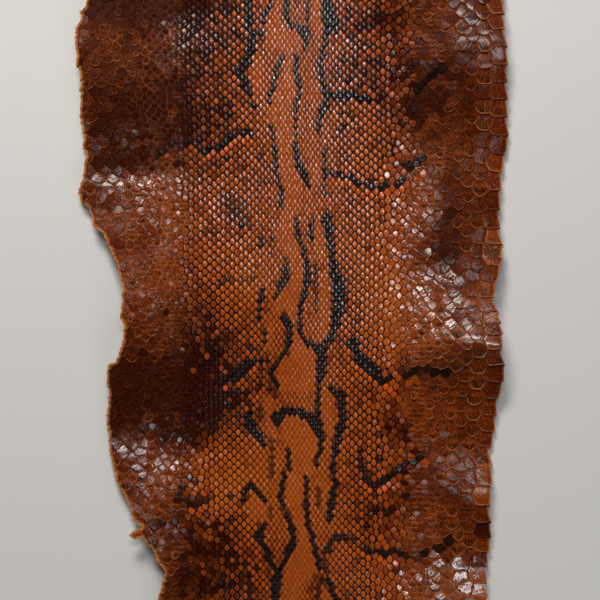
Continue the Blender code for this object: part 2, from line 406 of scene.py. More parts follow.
@dataclass(frozen=True)
class Layout:
    """Where every scale grows.

    Attributes:
        spine_gap: gap between the back's columns over the spine.
        back_gap: gap between them far from it.
        widening: distances from the spine between which the gap widens.
        back_pitch: length of a back scale along the skin.
        back_jitter: how far the back's sites stray, as a share of the pitch.
        back_margin: gap between the flanks' last columns and the back, as a share of back_gap.
        column_sway: width, run and start of the wave that the back's columns follow.
        row_sway: the same for the back's rows.
        row_bend: factor and power by which the rows bend headward away from the spine.
        most_squeeze: the most that lengths along the skin count for.
        overrun: how far the rows go on past the ends.
        scute_inset: distance that the scutes' sites stand in from the line of their tips.
        scute_room: how many insets in from that line hold no flank scale.
        scute_gap: distance between the scutes added past each end.
        flanks: the bands on each side.
        pin_holes: the holes.
        clearance: radii round a hole, and a margin, that hold only puckers and scutes.
        pucker_count: puckers round a hole.
        pucker_reach: their distance from its middle, in radii.
        pucker_stray: how unevenly they stand round it.
        settling: how often the sites settle.
        slack: share of the way to their cells' middles that the flanks' sites settle each time.
        seam_share: that share at a seam between bands.
        seam_back_share: how much of it the back's sites take.
        seed: seed of the strays.
    """

    spine_gap: float = 1.95
    back_gap: float = 3.6
    widening: Place = (8.0, 56.0)
    back_pitch: float = 6.4
    back_jitter: float = 0.03
    back_margin: float = 0.96
    column_sway: tuple[float, float, float] = (1.3, 47.0, 0.6)
    row_sway: tuple[float, float, float] = (1.6, 39.0, 1.1)
    row_bend: Place = (0.016, 1.3)
    most_squeeze: float = 1.08
    overrun: float = 18.0
    scute_inset: float = 8.2
    scute_room: float = 2.05
    scute_gap: float = 13.4
    flanks: tuple[Flank, ...] = (
        Flank(-1, -160.0, -0.095, (
            Band(Kind.FLANK, -23.1, 9, 7.8, 0.25, 12.8, 0.04),
            Band(Kind.SIDE, 37.6, 5, 4.7, 0.2, 8.4, 0.035),
            Band(Kind.SHOULDER, 58.9, 6, 3.6, 0.05, 6.6, 0.03),
        )),
        Flank(1, 150.0, 0.026, (
            Band(Kind.FLANK, 5.6, 5, 7.4, 0.5, 12.8, 0.04),
            Band(Kind.SIDE, 37.3, 5, 4.7, 0.2, 8.4, 0.035),
            Band(Kind.SHOULDER, 58.6, 5, 3.8, 0.05, 6.6, 0.03),
        )),
    )
    pin_holes: tuple[PinHole, ...] = (
        PinHole(157.0, 37.5, 1.2),
        PinHole(150.0, -125.5, 1.4),
        PinHole(-126.5, 13.5, 1.9),
    )
    clearance: Place = (3.4, 2.0)
    pucker_count: int = 9
    pucker_reach: float = 2.0
    pucker_stray: float = 0.15
    settling: int = 4
    slack: float = 0.08
    seam_share: float = 0.6
    seam_back_share: float = 0.7
    seed: int = 5

    def gap_at(self, far: Array) -> Array:
        """Gap between the back's columns at a distance from the spine, where they are closest together."""
        start, end = self.widening
        return self.spine_gap + (self.back_gap - self.spine_gap) * smooth((far - start) / (end - start))

    def squeeze(self, x: Array) -> Array:
        """How much lengths along the skin count for less, so that the back's scales come out as diamonds."""
        gap = self.gap_at(np.abs(x - SPINE_X))
        return np.minimum(gap / (0.5 * self.back_pitch), self.most_squeeze)

    def column_places(self) -> list[float]:
        """How far each of the back's columns stands from the spine."""
        places = [0.0]
        while places[-1] < HALF_LENGTH / 2.0:
            places.append(places[-1] + float(self.gap_at(np.array(places[-1]))))
        return places

    def scute_sites(self, tips: Sequence[Place]) -> list[tuple[float, float, Kind]]:
        """Sites of the belly scutes, each with one outside to close it along the border."""
        (head_x, head_y), (tail_x, tail_y) = tips[0], tips[-1]
        beyond = [(head_x, head_y + n * self.scute_gap) for n in (2.0, 1.0)]
        past = [(tail_x, tail_y - n * self.scute_gap) for n in (1.0, 2.0)]
        rows = [*beyond, *tips, *past]
        sites = []
        for (x, y), (next_x, next_y) in zip(rows, rows[1:]):
            middle_x = (x + next_x) / 2.0
            middle_y = (y + next_y) / 2.0
            sites.append((middle_x - self.scute_inset, middle_y, Kind.SCUTE))
            sites.append((middle_x + self.scute_inset, middle_y, Kind.OUTSIDE))
        return sites

    def flank_sites(self, flank: Flank, rng: np.random.Generator) -> list[tuple[float, float, Kind]]:
        """Sites of one flank's bands."""
        sites = []
        for band in flank.bands:
            count = int((HALF_LENGTH + self.overrun) / band.pitch) + 1
            for column in range(band.columns):
                for row in range(-count, count + 1):
                    stray = rng.normal(0.0, band.jitter * band.pitch, 2)
                    y = (row + 0.5 * (column % 2)) * band.pitch + stray[1]
                    x = flank.place_x(y, band.inward(column)) + stray[0]
                    sites.append((x, y, band.kind))
        return sites

    def back_sites(self, rng: np.random.Generator) -> list[tuple[float, float, Kind]]:
        """Sites of the narrow scales between the two flanks' bands."""
        limits = []
        for flank in self.flanks:
            last = flank.bands[-1]
            limits.append((flank, last.inward(last.columns - 1) + self.back_margin * self.back_gap))
        sites = []
        rows = int((HALF_LENGTH + self.overrun) / self.back_pitch) + 1
        places = self.column_places()
        wide, wide_run, wide_start = self.column_sway
        tall, tall_run, tall_start = self.row_sway
        bend, power = self.row_bend
        for column in range(1 - len(places), len(places)):
            offset = math.copysign(places[abs(column)], column)
            for row in range(-rows, rows + 1):
                stray = rng.normal(0.0, self.back_jitter * self.back_pitch, 2)
                x = SPINE_X + offset
                y = (row + 0.5 * (column % 2)) * self.back_pitch
                x += wide * math.sin(y / wide_run + wide_start) + stray[0]
                bent = bend * abs(x - SPINE_X) ** power
                y += tall * math.sin(x / tall_run + tall_start) + bent + stray[1]
                left = limits[0][0].place_x(y, limits[0][1])
                right = limits[1][0].place_x(y, limits[1][1])
                if left < x < right:
                    sites.append((x, y, Kind.BACK))
        return sites

    def sites(self, tips: Sequence[Place]) -> tuple[Array, Array]:
        """Every site and the number of its kind, before they settle."""
        rng = np.random.default_rng(self.seed)
        found = self.scute_sites(tips)
        for flank in self.flanks:
            found += self.flank_sites(flank, rng)
        found += self.back_sites(rng)
        tip_x, tip_y = zip(*tips[::-1])
        radii, margin = self.clearance
        kept = []
        for x, y, kind in found:
            clear = all(math.hypot(x - h.x, y - h.y) > radii * h.radius + margin for h in self.pin_holes)
            inner = np.interp(y, tip_y, tip_x) - self.scute_room * self.scute_inset
            in_scutes = kind is Kind.FLANK and x > inner
            if (clear or kind is Kind.SCUTE) and not in_scutes:
                kept.append((x, y, kind))
        for hole in self.pin_holes:
            kept.append((hole.x, hole.y, Kind.HOLE))
            for i in range(self.pucker_count):
                turn = 2.0 * math.pi * (i + self.pucker_stray * rng.normal()) / self.pucker_count
                reach = self.pucker_reach * hole.radius
                kept.append((hole.x + reach * math.cos(turn), hole.y + reach * math.sin(turn), Kind.PUCKER))
        return np.array([k[:2] for k in kept]), np.array([k[2].value for k in kept])


class Cells:
    """The ground that belongs to each site: the places nearer to it than to any other."""

    SHORT_EDGE = 0.3
    MOST_CORNERS = 11
    FAR = 60.0

    def __init__(self, sites: Array, kinds: Array, squeeze: Callable[[Array], Array]) -> None:
        """Work out every cell's corners, counterclockwise.

        Args:
            sites: the sites, one a row.
            kinds: the number of each one's kind.
            squeeze: how much less lengths along the skin count at each x.
        """
        self.sites = sites
        self.kinds = kinds
        self.squeeze = squeeze
        self._join()

    def are(self, *kinds: Kind) -> Array:
        """Which cells are of one of some kinds."""
        return np.isin(self.kinds, [kind.value for kind in kinds])

    def _join(self) -> None:
        """Find the corners from the triangles that join neighbouring sites."""
        flat = [Vector(p) for p in self.sites]
        _, _, faces, origins, _, _ = delaunay_2d_cdt(flat, [], [], 0, 1e-7)
        number = np.array([o[0] for o in origins])
        triangles = number[np.array(faces)]
        self.neighbours = np.unique(triangle_sides(triangles), axis=0)
        corner, label = self._corners(triangles)
        owner = triangles.ravel()
        which = np.repeat(np.arange(len(triangles)), 3)
        arm = corner[which] - self.sites[owner]
        order = np.lexsort((np.arctan2(arm[:, 1], arm[:, 0]), owner))
        owner, which = owner[order], which[order]
        first = np.r_[True, owner[1:] != owner[:-1]]
        repeat = np.r_[False, (owner[1:] == owner[:-1]) & (label[which[1:]] == label[which[:-1]])]
        begins = np.flatnonzero(first)
        ends = np.r_[begins[1:], len(owner)] - 1
        wraps = (label[which[begins]] == label[which[ends]]) & (ends > begins)
        repeat[ends[wraps]] = True
        owner, which = owner[~repeat], which[~repeat]
        self.counts = np.bincount(owner, minlength=len(self.sites))
        begins = np.cumsum(self.counts) - self.counts
        slot = np.arange(len(owner)) - begins[owner]
        held = slot < self.MOST_CORNERS
        self.counts = np.minimum(self.counts, self.MOST_CORNERS)
        self.corners = np.repeat(self.sites[:, None, :], self.MOST_CORNERS, axis=1)
        self.corners[owner[held], slot[held]] = corner[which[held]]
        self._walls()

    def _corners(self, triangles: Array) -> tuple[Array, Array]:
        """Centres of the circles through each triangle, with those that nearly meet or cross made one."""
        a, b, c = (self.sites[triangles[:, i]] for i in range(3))
        level = self._centres(a, b, c, np.ones(len(a)))
        corner = self._centres(a, b, c, self.squeeze((a[:, 0] + b[:, 0] + c[:, 0]) / 3.0))
        pairs = triangle_sides(triangles)
        face = np.tile(np.arange(len(triangles)), 3)
        order = np.lexsort((pairs[:, 1], pairs[:, 0]))
        pairs, face = pairs[order], face[order]
        same = np.flatnonzero((pairs[1:] == pairs[:-1]).all(axis=1))
        label = np.arange(len(triangles))
        left, right = face[same], face[same + 1]
        apart = corner[left] - corner[right]
        crossed = (apart * (level[left] - level[right])).sum(axis=1) < 0.0
        short = (length_of(apart) < self.SHORT_EDGE) | crossed
        for one, other in zip(left[short], right[short]):
            low, high = sorted((label[one], label[other]))
            label[label == high] = low
        count = np.bincount(label, minlength=len(label)).astype(float)
        for axis in range(2):
            total = np.bincount(label, corner[:, axis], minlength=len(label))
            corner[:, axis] = (total / np.maximum(count, 1.0))[label]
        return corner, label

    def _centres(self, a: Array, b: Array, c: Array, squeeze: Array) -> Array:
        """Centres of the circles through each triangle, when it is squeezed lengthways."""
        shrink = np.stack([np.ones(len(a)), squeeze], axis=1)
        ab, ac = (b - a) * shrink, (c - a) * shrink
        cross = 2.0 * (ab[:, 0] * ac[:, 1] - ab[:, 1] * ac[:, 0])
        cross = np.where(np.abs(cross) < 1e-9, 1e-9, cross)
        ab2, ac2 = (ab**2).sum(axis=1), (ac**2).sum(axis=1)
        ux = (ac[:, 1] * ab2 - ab[:, 1] * ac2) / cross
        uy = (ab[:, 0] * ac2 - ac[:, 0] * ab2) / cross
        return a + np.clip(np.stack([ux, uy], axis=1), -self.FAR, self.FAR) / shrink

    def _walls(self) -> None:
        """Each cell's walls, as the way that they face and how far they stand from the site."""
        slots = np.arange(self.MOST_CORNERS)
        count = np.maximum(self.counts, 1)[:, None]
        following = np.take_along_axis(
            self.corners, np.where(slots + 1 < count, slots + 1, 0)[:, :, None].repeat(2, axis=2), axis=1
        )
        run = following - self.corners
        length = length_of(run)
        real = (slots < count) & (length > 1e-6)
        facing = np.stack([run[..., 1], -run[..., 0]], axis=2) / np.maximum(length, 1e-9)[..., None]
        reach = ((self.corners - self.sites[:, None]) * facing).sum(axis=2)
        self.facing = np.where(real[..., None], facing, 0.0)
        self.reach = np.where(real, np.maximum(reach, 1e-3), 1e9)
        span = np.where((slots < count)[..., None], self.corners - self.sites[:, None], 0.0)
        self.half = np.maximum(np.abs(span).max(axis=1), 0.5)
        self.radius = length_of(span).max(axis=1)

    def settle(self, share: Array) -> None:
        """Move each site its share of the way to the middle of its cell and find the cells again."""
        slots = np.arange(self.MOST_CORNERS)
        held = (slots < self.counts[:, None])[..., None]
        middle = (self.corners * held).sum(axis=1) / np.maximum(self.counts, 1)[:, None]
        drift = np.clip(middle - self.sites, -3.0, 3.0)
        self.sites = self.sites + share[:, None] * drift
        self._join()

    def gauge(self, cell: Array, places: Array, roundness: float) -> tuple[Array, Array]:
        """How far out in a cell each place lies, 1 at its border.

        Args:
            cell: the number of each place's cell.
            places: the places.
            roundness: the power that rounds the corners of the second answer.

        Returns:
            The exact share, and one whose level lines have round corners.
        """
        arm = places - self.sites[cell]
        ratio = (arm[:, None, :] * self.facing[cell]).sum(axis=2) / self.reach[cell]
        ratio = np.clip(ratio, 0.0, None)
        return ratio.max(axis=1), (ratio**roundness).sum(axis=1) ** (1.0 / roundness)


# The markings, as they are seen in the photograph


@dataclass(frozen=True)
class Stroke:
    """A narrow marking along a line of the photograph's pixels, with its width at each point."""

    width: Union[float, tuple[float, ...]]
    points: Places
    depth: float = 1.0

    def strength(self, px: Array, py: Array, least: float) -> Array:
        """How much of the marking each place has.

        Args:
            px: columns of the places.
            py: rows of the places.
            least: half-width that the stroke has at least, so that it always meets a scale.
        """
        even = isinstance(self.width, (int, float))
        widths = np.full(len(self.points), self.width) if even else self.width
        best = np.zeros(len(px))
        for (ax, ay), (bx, by), start, end in zip(self.points, self.points[1:], widths, widths[1:]):
            run_x, run_y = bx - ax, by - ay
            share = ((px - ax) * run_x + (py - ay) * run_y) / max(run_x**2 + run_y**2, 1e-9)
            share = np.clip(share, 0.0, 1.0)
            gap = np.hypot(px - ax - share * run_x, py - ay - share * run_y)
            half = np.maximum((start + (end - start) * share) / 2.0, least)
            best = np.maximum(best, smooth((half + 0.7 - gap) / 1.4))
        return best * self.depth


@dataclass(frozen=True)
class Area:
    """A marking with a closed border, in the photograph's pixels."""

    points: Places
    depth: float = 1.0

    def strength(self, px: Array, py: Array) -> Array:
        """How much of the marking each place has."""
        border = Border(np.array(self.points, float), 1000.0)
        inside, gap = border.locate(np.stack([px, py], axis=1), 4.0)
        return smooth(0.5 + np.where(inside, gap, -gap) / 1.6) * self.depth


@dataclass(frozen=True)
class Blotch:
    """A broad soft change, used for colour and for gloss: centre and radii in pixels, and its depth, dark
    below zero.
    """

    x: float
    y: float
    radius_x: float
    radius_y: float
    depth: float

    def at(self, px: Array, py: Array) -> Array:
        """The change at each place."""
        across, along = (px - self.x) / self.radius_x, (py - self.y) / self.radius_y
        return self.depth * np.exp(-(across**2) - along**2)


STRIPE_LEFT: Places = (
    (271, -60), (271, 0), (266, 17), (263, 33), (265, 46), (284, 51), (284, 75), (275, 83), (271, 100),
    (269, 108), (270, 130), (277, 150), (279, 175), (285, 191), (285, 200), (282, 216), (275.6, 229),
    (272.7, 237), (278, 246), (285.5, 254), (289, 262), (290, 275), (289.7, 283), (276, 299),
    (272.7, 308), (281, 315), (290.5, 327), (292, 341), (287, 354), (278, 360), (275, 375), (276, 392),
)
STRIPE_RIGHT: Places = (
    (284, -60), (284, 0), (286, 17), (289, 25), (302, 33), (303, 46), (293, 52), (293, 75), (299, 91),
    (295.5, 100), (292, 108), (293, 133), (298, 166), (303.5, 183), (297, 200), (294, 224),
    (294.7, 237), (304.6, 254), (306.7, 283), (302, 299), (297, 321), (298, 335), (315, 346),
    (318.7, 366), (318.7, 375), (314, 392),
)
LOWER_LEFT: Places = (
    (288, 414), (281, 424), (282, 440), (291, 453), (291, 466), (287, 483), (282, 500), (290.5, 520),
    (296, 536), (293, 553), (285, 568), (282, 588), (279, 596), (277, 660),
)
LOWER_RIGHT: Places = (
    (308, 419), (318.7, 439), (315.4, 458), (304.6, 480), (302, 508), (308.7, 543), (317, 563),
    (317, 575), (306, 584), (299.6, 596), (302, 660),
)

LIGHT_AREAS: tuple[Area, ...] = (
    Area(STRIPE_LEFT + STRIPE_RIGHT[::-1]),
    Area(LOWER_LEFT + LOWER_RIGHT[::-1]),
    Area(((310, -60), (319, -60), (323, 25), (318, 39), (311, 25))),
    Area(((308, 79), (323, 82), (323, 98), (309, 100)), 0.7),
    Area(((311, 158), (321.6, 158), (321.6, 183), (311, 183)), 0.8),
    Area(((311.6, 219), (321.6, 219), (327, 258), (319, 258))),
    Area(((317.5, 270), (328.6, 270), (332, 300), (332, 316), (326, 341), (319, 341), (318.7, 283))),
    Area(((325.7, 386), (331, 390), (336, 410), (336, 430), (330, 437), (323, 430), (319.5, 408))),
    Area(((320, 484), (329.5, 484), (328, 495), (324, 514), (320, 508))),
    Area(((253.6, 53), (261.5, 56), (262.3, 83), (257, 99), (252.4, 81), (252.4, 70))),
    Area(((266.5, 319), (273, 321), (273, 352), (266.5, 350))),
    Area(((264, 397), (274, 397), (273, 422), (278, 437), (271, 440), (263, 417))),
    Area(((320, 588), (331, 590), (334, 660), (318, 660))),
    Area(((246, 496), (262, 492), (270, 508), (266, 524), (250, 520)), 0.75),
)

DARK_AREAS: tuple[Area, ...] = (
    Area(((285.5, 257), (290, 266), (289.7, 280), (286.4, 288), (275, 300), (271, 300), (278, 283),
          (282, 270)), 0.92),
    Area(((218, 196), (229, 194), (246, 203), (251, 216), (250, 228), (240, 229), (228, 220)), 0.55),
)

BACK_STROKES: tuple[Stroke, ...] = (
    Stroke(2.5, ((271, -60), (271, 5), (265, 15), (261, 36))),
    Stroke((7, 7, 7, 8, 9, 10, 10, 7, 6), ((247, -60), (247, 0), (249, 25), (252, 33), (250, 46),
           (246.6, 58), (241.6, 68), (241.5, 79), (252.4, 94))),
    Stroke(5.0, ((252.4, 102), (252.4, 107))),
    Stroke(5.0, ((283, 53), (276.4, 66), (274.8, 81), (271.4, 91), (268, 102))),
    Stroke((5, 5, 5, 5, 4, 3, 3), ((295.5, 56), (296.3, 75), (299.6, 85), (299.6, 95), (294.7, 108),
           (295.5, 129), (295.5, 148))),
    Stroke(7.0, ((297, 151), (298, 163), (303, 170.5), (306.3, 179), (308, 184))),
    Stroke((6, 6, 6, 8, 7, 6, 5), ((286.4, -60), (286.4, 0), (285.5, 17), (292, 25), (299.6, 27),
           (305.4, 36), (305.8, 47))),
    Stroke(4.0, ((308, -60), (308, 33), (306.3, 43)), 0.8),
    Stroke((13, 13, 15, 6, 5, 5, 5, 6, 6, 4), ((327, -60), (327, 8), (331, 23), (327, 34),
           (322.8, 50), (319.5, 66), (320.4, 79), (325.3, 91), (325.3, 104), (319.5, 118))),
    Stroke(4.0, ((319.5, 108), (319, 135))),
    Stroke(4.0, ((324.5, 152), (324.5, 192))),
    Stroke(4.5, ((271.4, 127), (274.8, 146), (274.8, 163), (278, 179), (282.2, 191), (280.6, 205))),
    Stroke(2.0, ((260.7, 141), (260.7, 160)), 0.6),
    Stroke((11, 11.5, 7, 7, 10, 15, 14, 11, 7, 5), ((327, 216), (328.6, 229), (330, 241), (332, 256),
           (334, 270), (339.5, 290), (339.4, 308), (336.5, 318), (333, 334), (325.3, 346))),
    Stroke((6, 11, 11, 6, 4, 7, 10), ((324, 346), (322, 353), (322, 368), (319.5, 381), (318, 396),
           (317, 410), (319, 428))),
    Stroke((5, 6, 6, 6, 7, 7, 6, 5, 5, 6, 7, 7, 7), ((297, 220), (298, 237), (303, 248), (307, 266),
           (308, 279), (304.6, 293), (302, 302), (299.6, 312), (298.8, 325), (302, 337), (307, 343),
           (313, 346), (318, 350))),
    Stroke(4.0, ((311.2, 221), (311.2, 240))),
    Stroke(4.0, ((316.2, 266), (316.2, 312)), 0.85),
    Stroke(6.0, ((261.5, 236), (261.5, 246)), 0.9),
    Stroke(3.0, ((271.4, 238), (271.4, 243)), 0.8),
    Stroke(5.5, ((262.3, 290), (259, 310), (258.5, 321))),
    Stroke(3.0, ((260, 322), (264.8, 331), (264.8, 346))),
    Stroke(7.5, ((283, 316.6), (288.8, 326.5), (289.7, 336.5), (288, 346), (284.7, 353))),
    Stroke(5.0, ((283, 354), (276.4, 361), (272.3, 370), (272.3, 379), (276.4, 387))),
    Stroke((8, 9, 9, 9, 9, 9, 10, 10, 8, 6, 5, 5), ((274.8, 416), (278, 422), (283, 412), (288, 410),
           (296, 411.5), (306, 416), (312, 421), (318, 429), (321, 438), (320.4, 448), (318, 456),
           (316, 464))),
    Stroke(2.5, ((277, 428), (279, 433)), 0.7),
    Stroke(5.0, ((288, 451), (288, 470))),
    Stroke((5, 6, 6, 5, 5, 6, 7, 8, 8, 7, 7, 9, 10, 10), ((284.7, 473), (283, 483), (280.6, 495),
           (281.4, 506), (286.4, 514), (290, 522), (293, 534), (293, 543), (289.7, 551), (286.4, 559),
           (282, 567), (277, 576), (275.5, 590), (274, 660))),
    Stroke(8.0, ((248.2, 414), (249, 424), (254, 431), (258.5, 436), (263, 445))),
    Stroke(2.5, ((261.5, 404), (261.5, 421)), 0.8),
    Stroke(3.0, ((271.6, 443), (271.6, 480)), 0.85),
    Stroke((5, 7, 9, 10, 8, 6, 5, 6, 8, 7, 7), ((330, 384), (335, 391), (341, 397), (343, 420),
           (338.5, 434), (335, 452), (332, 467), (336, 485), (332, 500), (330, 508), (329, 519))),
    Stroke(5.5, ((307, 479), (305.4, 495), (306.3, 508), (308.7, 528), (312, 538), (314.6, 549),
           (318.7, 560), (319.5, 569))),
    Stroke(3.0, ((325.3, 560), (326, 575)), 0.8),
    Stroke(2.5, ((318.7, 489), (318.7, 509)), 0.8),
    Stroke(7.5, ((262.3, 527), (258.2, 540), (265, 549), (268, 558), (273, 568))),
    Stroke(7.0, ((248.4, 487), (241, 502))),
    Stroke(6.0, ((252.4, 485), (264, 502))),
    Stroke(5.0, ((231, 494), (231, 500)), 0.9),
    Stroke(3.0, ((269.8, 504), (269.8, 517)), 0.7),
    Stroke((3, 5, 6, 6), ((244, 563), (248.2, 575), (250, 590), (249, 604)), 0.9),
    Stroke(4.0, ((324.5, 582), (318.7, 590), (317, 602), (316, 660)), 0.85),
    Stroke(5.0, ((327.8, 582), (332.8, 592), (336, 602), (337, 660))),
)

SIDE_STROKES: tuple[Stroke, ...] = (
    Stroke(7.0, ((332, 95), (353, 93), (362, 97), (374, 100))),
    Stroke(5.0, ((445, 61), (437, 73), (429.5, 80), (423, 86), (417, 91)), 0.9),
    Stroke(5.5, ((328, 172), (350, 176), (361, 183), (371, 187), (390, 184), (399, 184), (404, 178),
                 (414, 168), (424, 155))),
    Stroke(8.5, ((351, 345), (354, 341), (357, 356), (363, 362), (371, 369), (379, 375), (387, 381))),
    Stroke(5.5, ((402, 373), (405, 378), (413, 371), (431, 370), (441, 376), (450, 368)), 0.9),
    Stroke((5, 6, 7, 8, 7, 6, 6, 7, 6, 5), ((360, 449), (361.5, 460), (362.5, 469), (368, 480),
           (377, 486), (386, 481), (393, 477), (403, 469), (411, 464), (423, 452)), 0.95),
    Stroke(5.0, ((399, 474), (409.7, 473)), 0.9),
    Stroke(4.0, ((422, 441), (427, 448)), 0.9),
    Stroke((8, 8, 8, 6, 5, 6, 6, 6, 7), ((327, 552), (331, 543), (338, 538), (350, 539), (359, 549),
           (371, 553), (384, 554), (402, 553), (414, 556)), 0.95),
    Stroke(9.0, ((420, 561), (428, 554), (437, 547), (447, 541)), 0.9),
    Stroke((6, 7, 7, 6, 4), ((252, 131), (240, 132), (228, 139), (215, 147), (204, 152)), 0.95),
    Stroke(5.0, ((200, 145), (186, 142), (171, 145), (160, 152), (155, 158)), 0.75),
    Stroke(4.0, ((254, 279), (240, 282), (228, 278), (218, 284)), 0.6),
    Stroke((5, 7, 8, 8, 8, 8), ((266, 361), (254, 361), (246, 366), (239, 373), (231, 380),
           (221, 384)), 0.95),
    Stroke(6.0, ((182, 484), (179, 493), (189, 504), (201, 504), (208, 502)), 0.85),
    Stroke(4.0, ((184, 476), (195, 482)), 0.7),
    Stroke(5.0, ((194, 498), (210, 499)), 0.75),
    Stroke(4.0, ((211, 561), (216, 568), (221, 583), (228, 590)), 0.6),
    Stroke(4.0, ((207, 346), (214, 356), (208, 366)), 0.5),
)

EMBER_STROKES: tuple[Stroke, ...] = (
    Stroke(4.0, ((350, 99), (362, 104), (378, 105)), 0.7),
    Stroke(4.0, ((334, 181), (350, 184), (361, 190), (376, 194), (395, 191), (404, 187), (415, 180),
                 (424, 170))),
    Stroke(5.0, ((353, 362), (362, 369), (372, 378), (382, 386), (390, 389))),
    Stroke(4.0, ((395, 384), (404, 387), (414, 380)), 0.7),
    Stroke(5.0, ((364, 486), (372, 490), (380, 494), (388, 489), (399, 483), (405, 478))),
    Stroke(5.0, ((421, 471), (424, 463), (430, 456))),
    Stroke(4.5, ((345, 548), (362, 556), (369, 561), (380, 562), (401, 565)), 0.9),
    Stroke(4.5, ((248, 139), (237, 140), (231, 146), (225, 150), (213, 155), (208, 160))),
    Stroke(4.0, ((192, 148), (181, 149), (171, 154), (165, 160), (160, 166)), 0.8),
    Stroke(4.5, ((254, 369), (247, 372), (242, 378), (234, 385), (226, 391))),
    Stroke(4.0, ((258, 289), (244, 285), (236, 287), (224, 289)), 0.7),
    Stroke(4.0, ((190, 512), (199, 512), (210, 510)), 0.7),
)

# Broad changes of colour, dark below zero: partly uneven dye, partly painted shade on fold slopes that turn
# from the light and painted sheen on some bright patches.
TONE_AND_PAINTED_LIGHT_BLOTCHES: tuple[Blotch, ...] = (
    Blotch(215, 362, 55, 42, -0.75), Blotch(140, 390, 60, 46, -1.2), Blotch(448, 372, 62, 26, -0.6),
    Blotch(455, 60, 60, 60, -0.45), Blotch(385, 60, 45, 55, -0.3), Blotch(150, 118, 70, 44, -1.0),
    Blotch(170, 20, 80, 44, -0.6), Blotch(205, 560, 60, 40, -0.8), Blotch(420, 425, 50, 30, -0.1),
    Blotch(420, 510, 60, 34, -0.05), Blotch(400, 474, 52, 40, -0.25), Blotch(380, 250, 40, 60, 0.2),
    Blotch(462, 210, 40, 40, -0.3), Blotch(250, 300, 30, 40, 0.25), Blotch(230, 490, 40, 30, 0.3),
    Blotch(470, 585, 40, 30, 0.6), Blotch(150, 260, 60, 30, 0.15), Blotch(120, 330, 26, 20, 0.35),
    Blotch(225, 150, 40, 30, -0.3), Blotch(140, 4, 76, 18, -0.8), Blotch(140, 74, 56, 24, -0.35),
    Blotch(108, 130, 26, 22, -0.4), Blotch(200, 75, 34, 36, -0.35), Blotch(120, 162, 36, 13, -0.8),
    Blotch(448, 252, 24, 22, -0.5), Blotch(415, 340, 30, 26, 0.3), Blotch(165, 318, 50, 24, -0.2),
    Blotch(195, 285, 30, 34, -0.2), Blotch(208, 400, 26, 18, -0.8), Blotch(175, 432, 60, 16, -0.5),
    Blotch(290, 492, 60, 66, 0.8), Blotch(392, 512, 44, 38, -0.4), Blotch(398, 434, 48, 32, -0.4),
    Blotch(192, 520, 44, 20, -0.35), Blotch(215, 596, 50, 20, -0.4), Blotch(408, 110, 52, 56, -0.5),
    Blotch(400, 8, 60, 22, -0.5), Blotch(484, 374, 20, 16, 0.5), Blotch(306, 70, 34, 110, 0.15),
    Blotch(308, 270, 30, 130, 0.25), Blotch(318, 400, 20, 60, 0.4), Blotch(258, 110, 26, 60, 0.25),
    Blotch(440, 250, 28, 22, -0.5), Blotch(118, 2, 44, 18, -0.6), Blotch(400, 300, 44, 50, 0.4),
    Blotch(255, 280, 24, 40, 0.25), Blotch(288, 520, 40, 50, -0.25), Blotch(352, 60, 30, 60, -0.25),
    Blotch(345, 320, 26, 40, -0.3), Blotch(212, 130, 34, 44, -0.25), Blotch(214, 412, 34, 30, -0.3),
)

SHINES: tuple[Blotch, ...] = (
    Blotch(388, 250, 44, 66, 1.0), Blotch(392, 320, 46, 34, 0.6), Blotch(262, 270, 30, 22, 0.8),
    Blotch(300, 0, 60, 50, 0.3), Blotch(305, 120, 56, 100, 0.5), Blotch(285, 70, 40, 56, 0.3),
    Blotch(322, 200, 34, 56, 0.3), Blotch(165, 186, 90, 12, 0.4), Blotch(242, 218, 30, 36, 0.8),
    Blotch(418, 290, 38, 28, 0.7), Blotch(290, 200, 40, 60, 0.3), Blotch(470, 352, 46, 9, 0.7),
    Blotch(480, 285, 26, 20, -0.3), Blotch(155, 462, 50, 28, 0.4), Blotch(198, 34, 36, 26, 0.35),
    Blotch(480, 18, 24, 24, 0.3), Blotch(415, 16, 44, 26, -0.4), Blotch(430, 586, 66, 22, 1.0),
    Blotch(262, 437, 20, 8, 0.4), Blotch(120, 34, 40, 40, -0.4), Blotch(160, 2, 60, 16, -0.4),
    Blotch(118, 161, 36, 9, -0.4), Blotch(110, 235, 40, 34, -0.3), Blotch(145, 105, 64, 44, -0.35),
    Blotch(450, 110, 50, 60, -0.3), Blotch(465, 225, 30, 50, -0.25), Blotch(160, 380, 70, 40, -0.3),
    Blotch(230, 560, 60, 34, -0.25), Blotch(430, 430, 60, 40, -0.2), Blotch(312, 80, 36, 110, 0.8),
    Blotch(318, 270, 24, 90, 0.5), Blotch(402, 296, 34, 40, 1.0), Blotch(404, 334, 26, 18, 0.9),
    Blotch(464, 342, 40, 16, 0.9), Blotch(444, 580, 40, 20, 0.9), Blotch(230, 214, 26, 24, 0.5),
    Blotch(440, 246, 24, 22, -0.5), Blotch(118, 6, 40, 20, -0.3), Blotch(318, 380, 20, 50, 0.25),
)


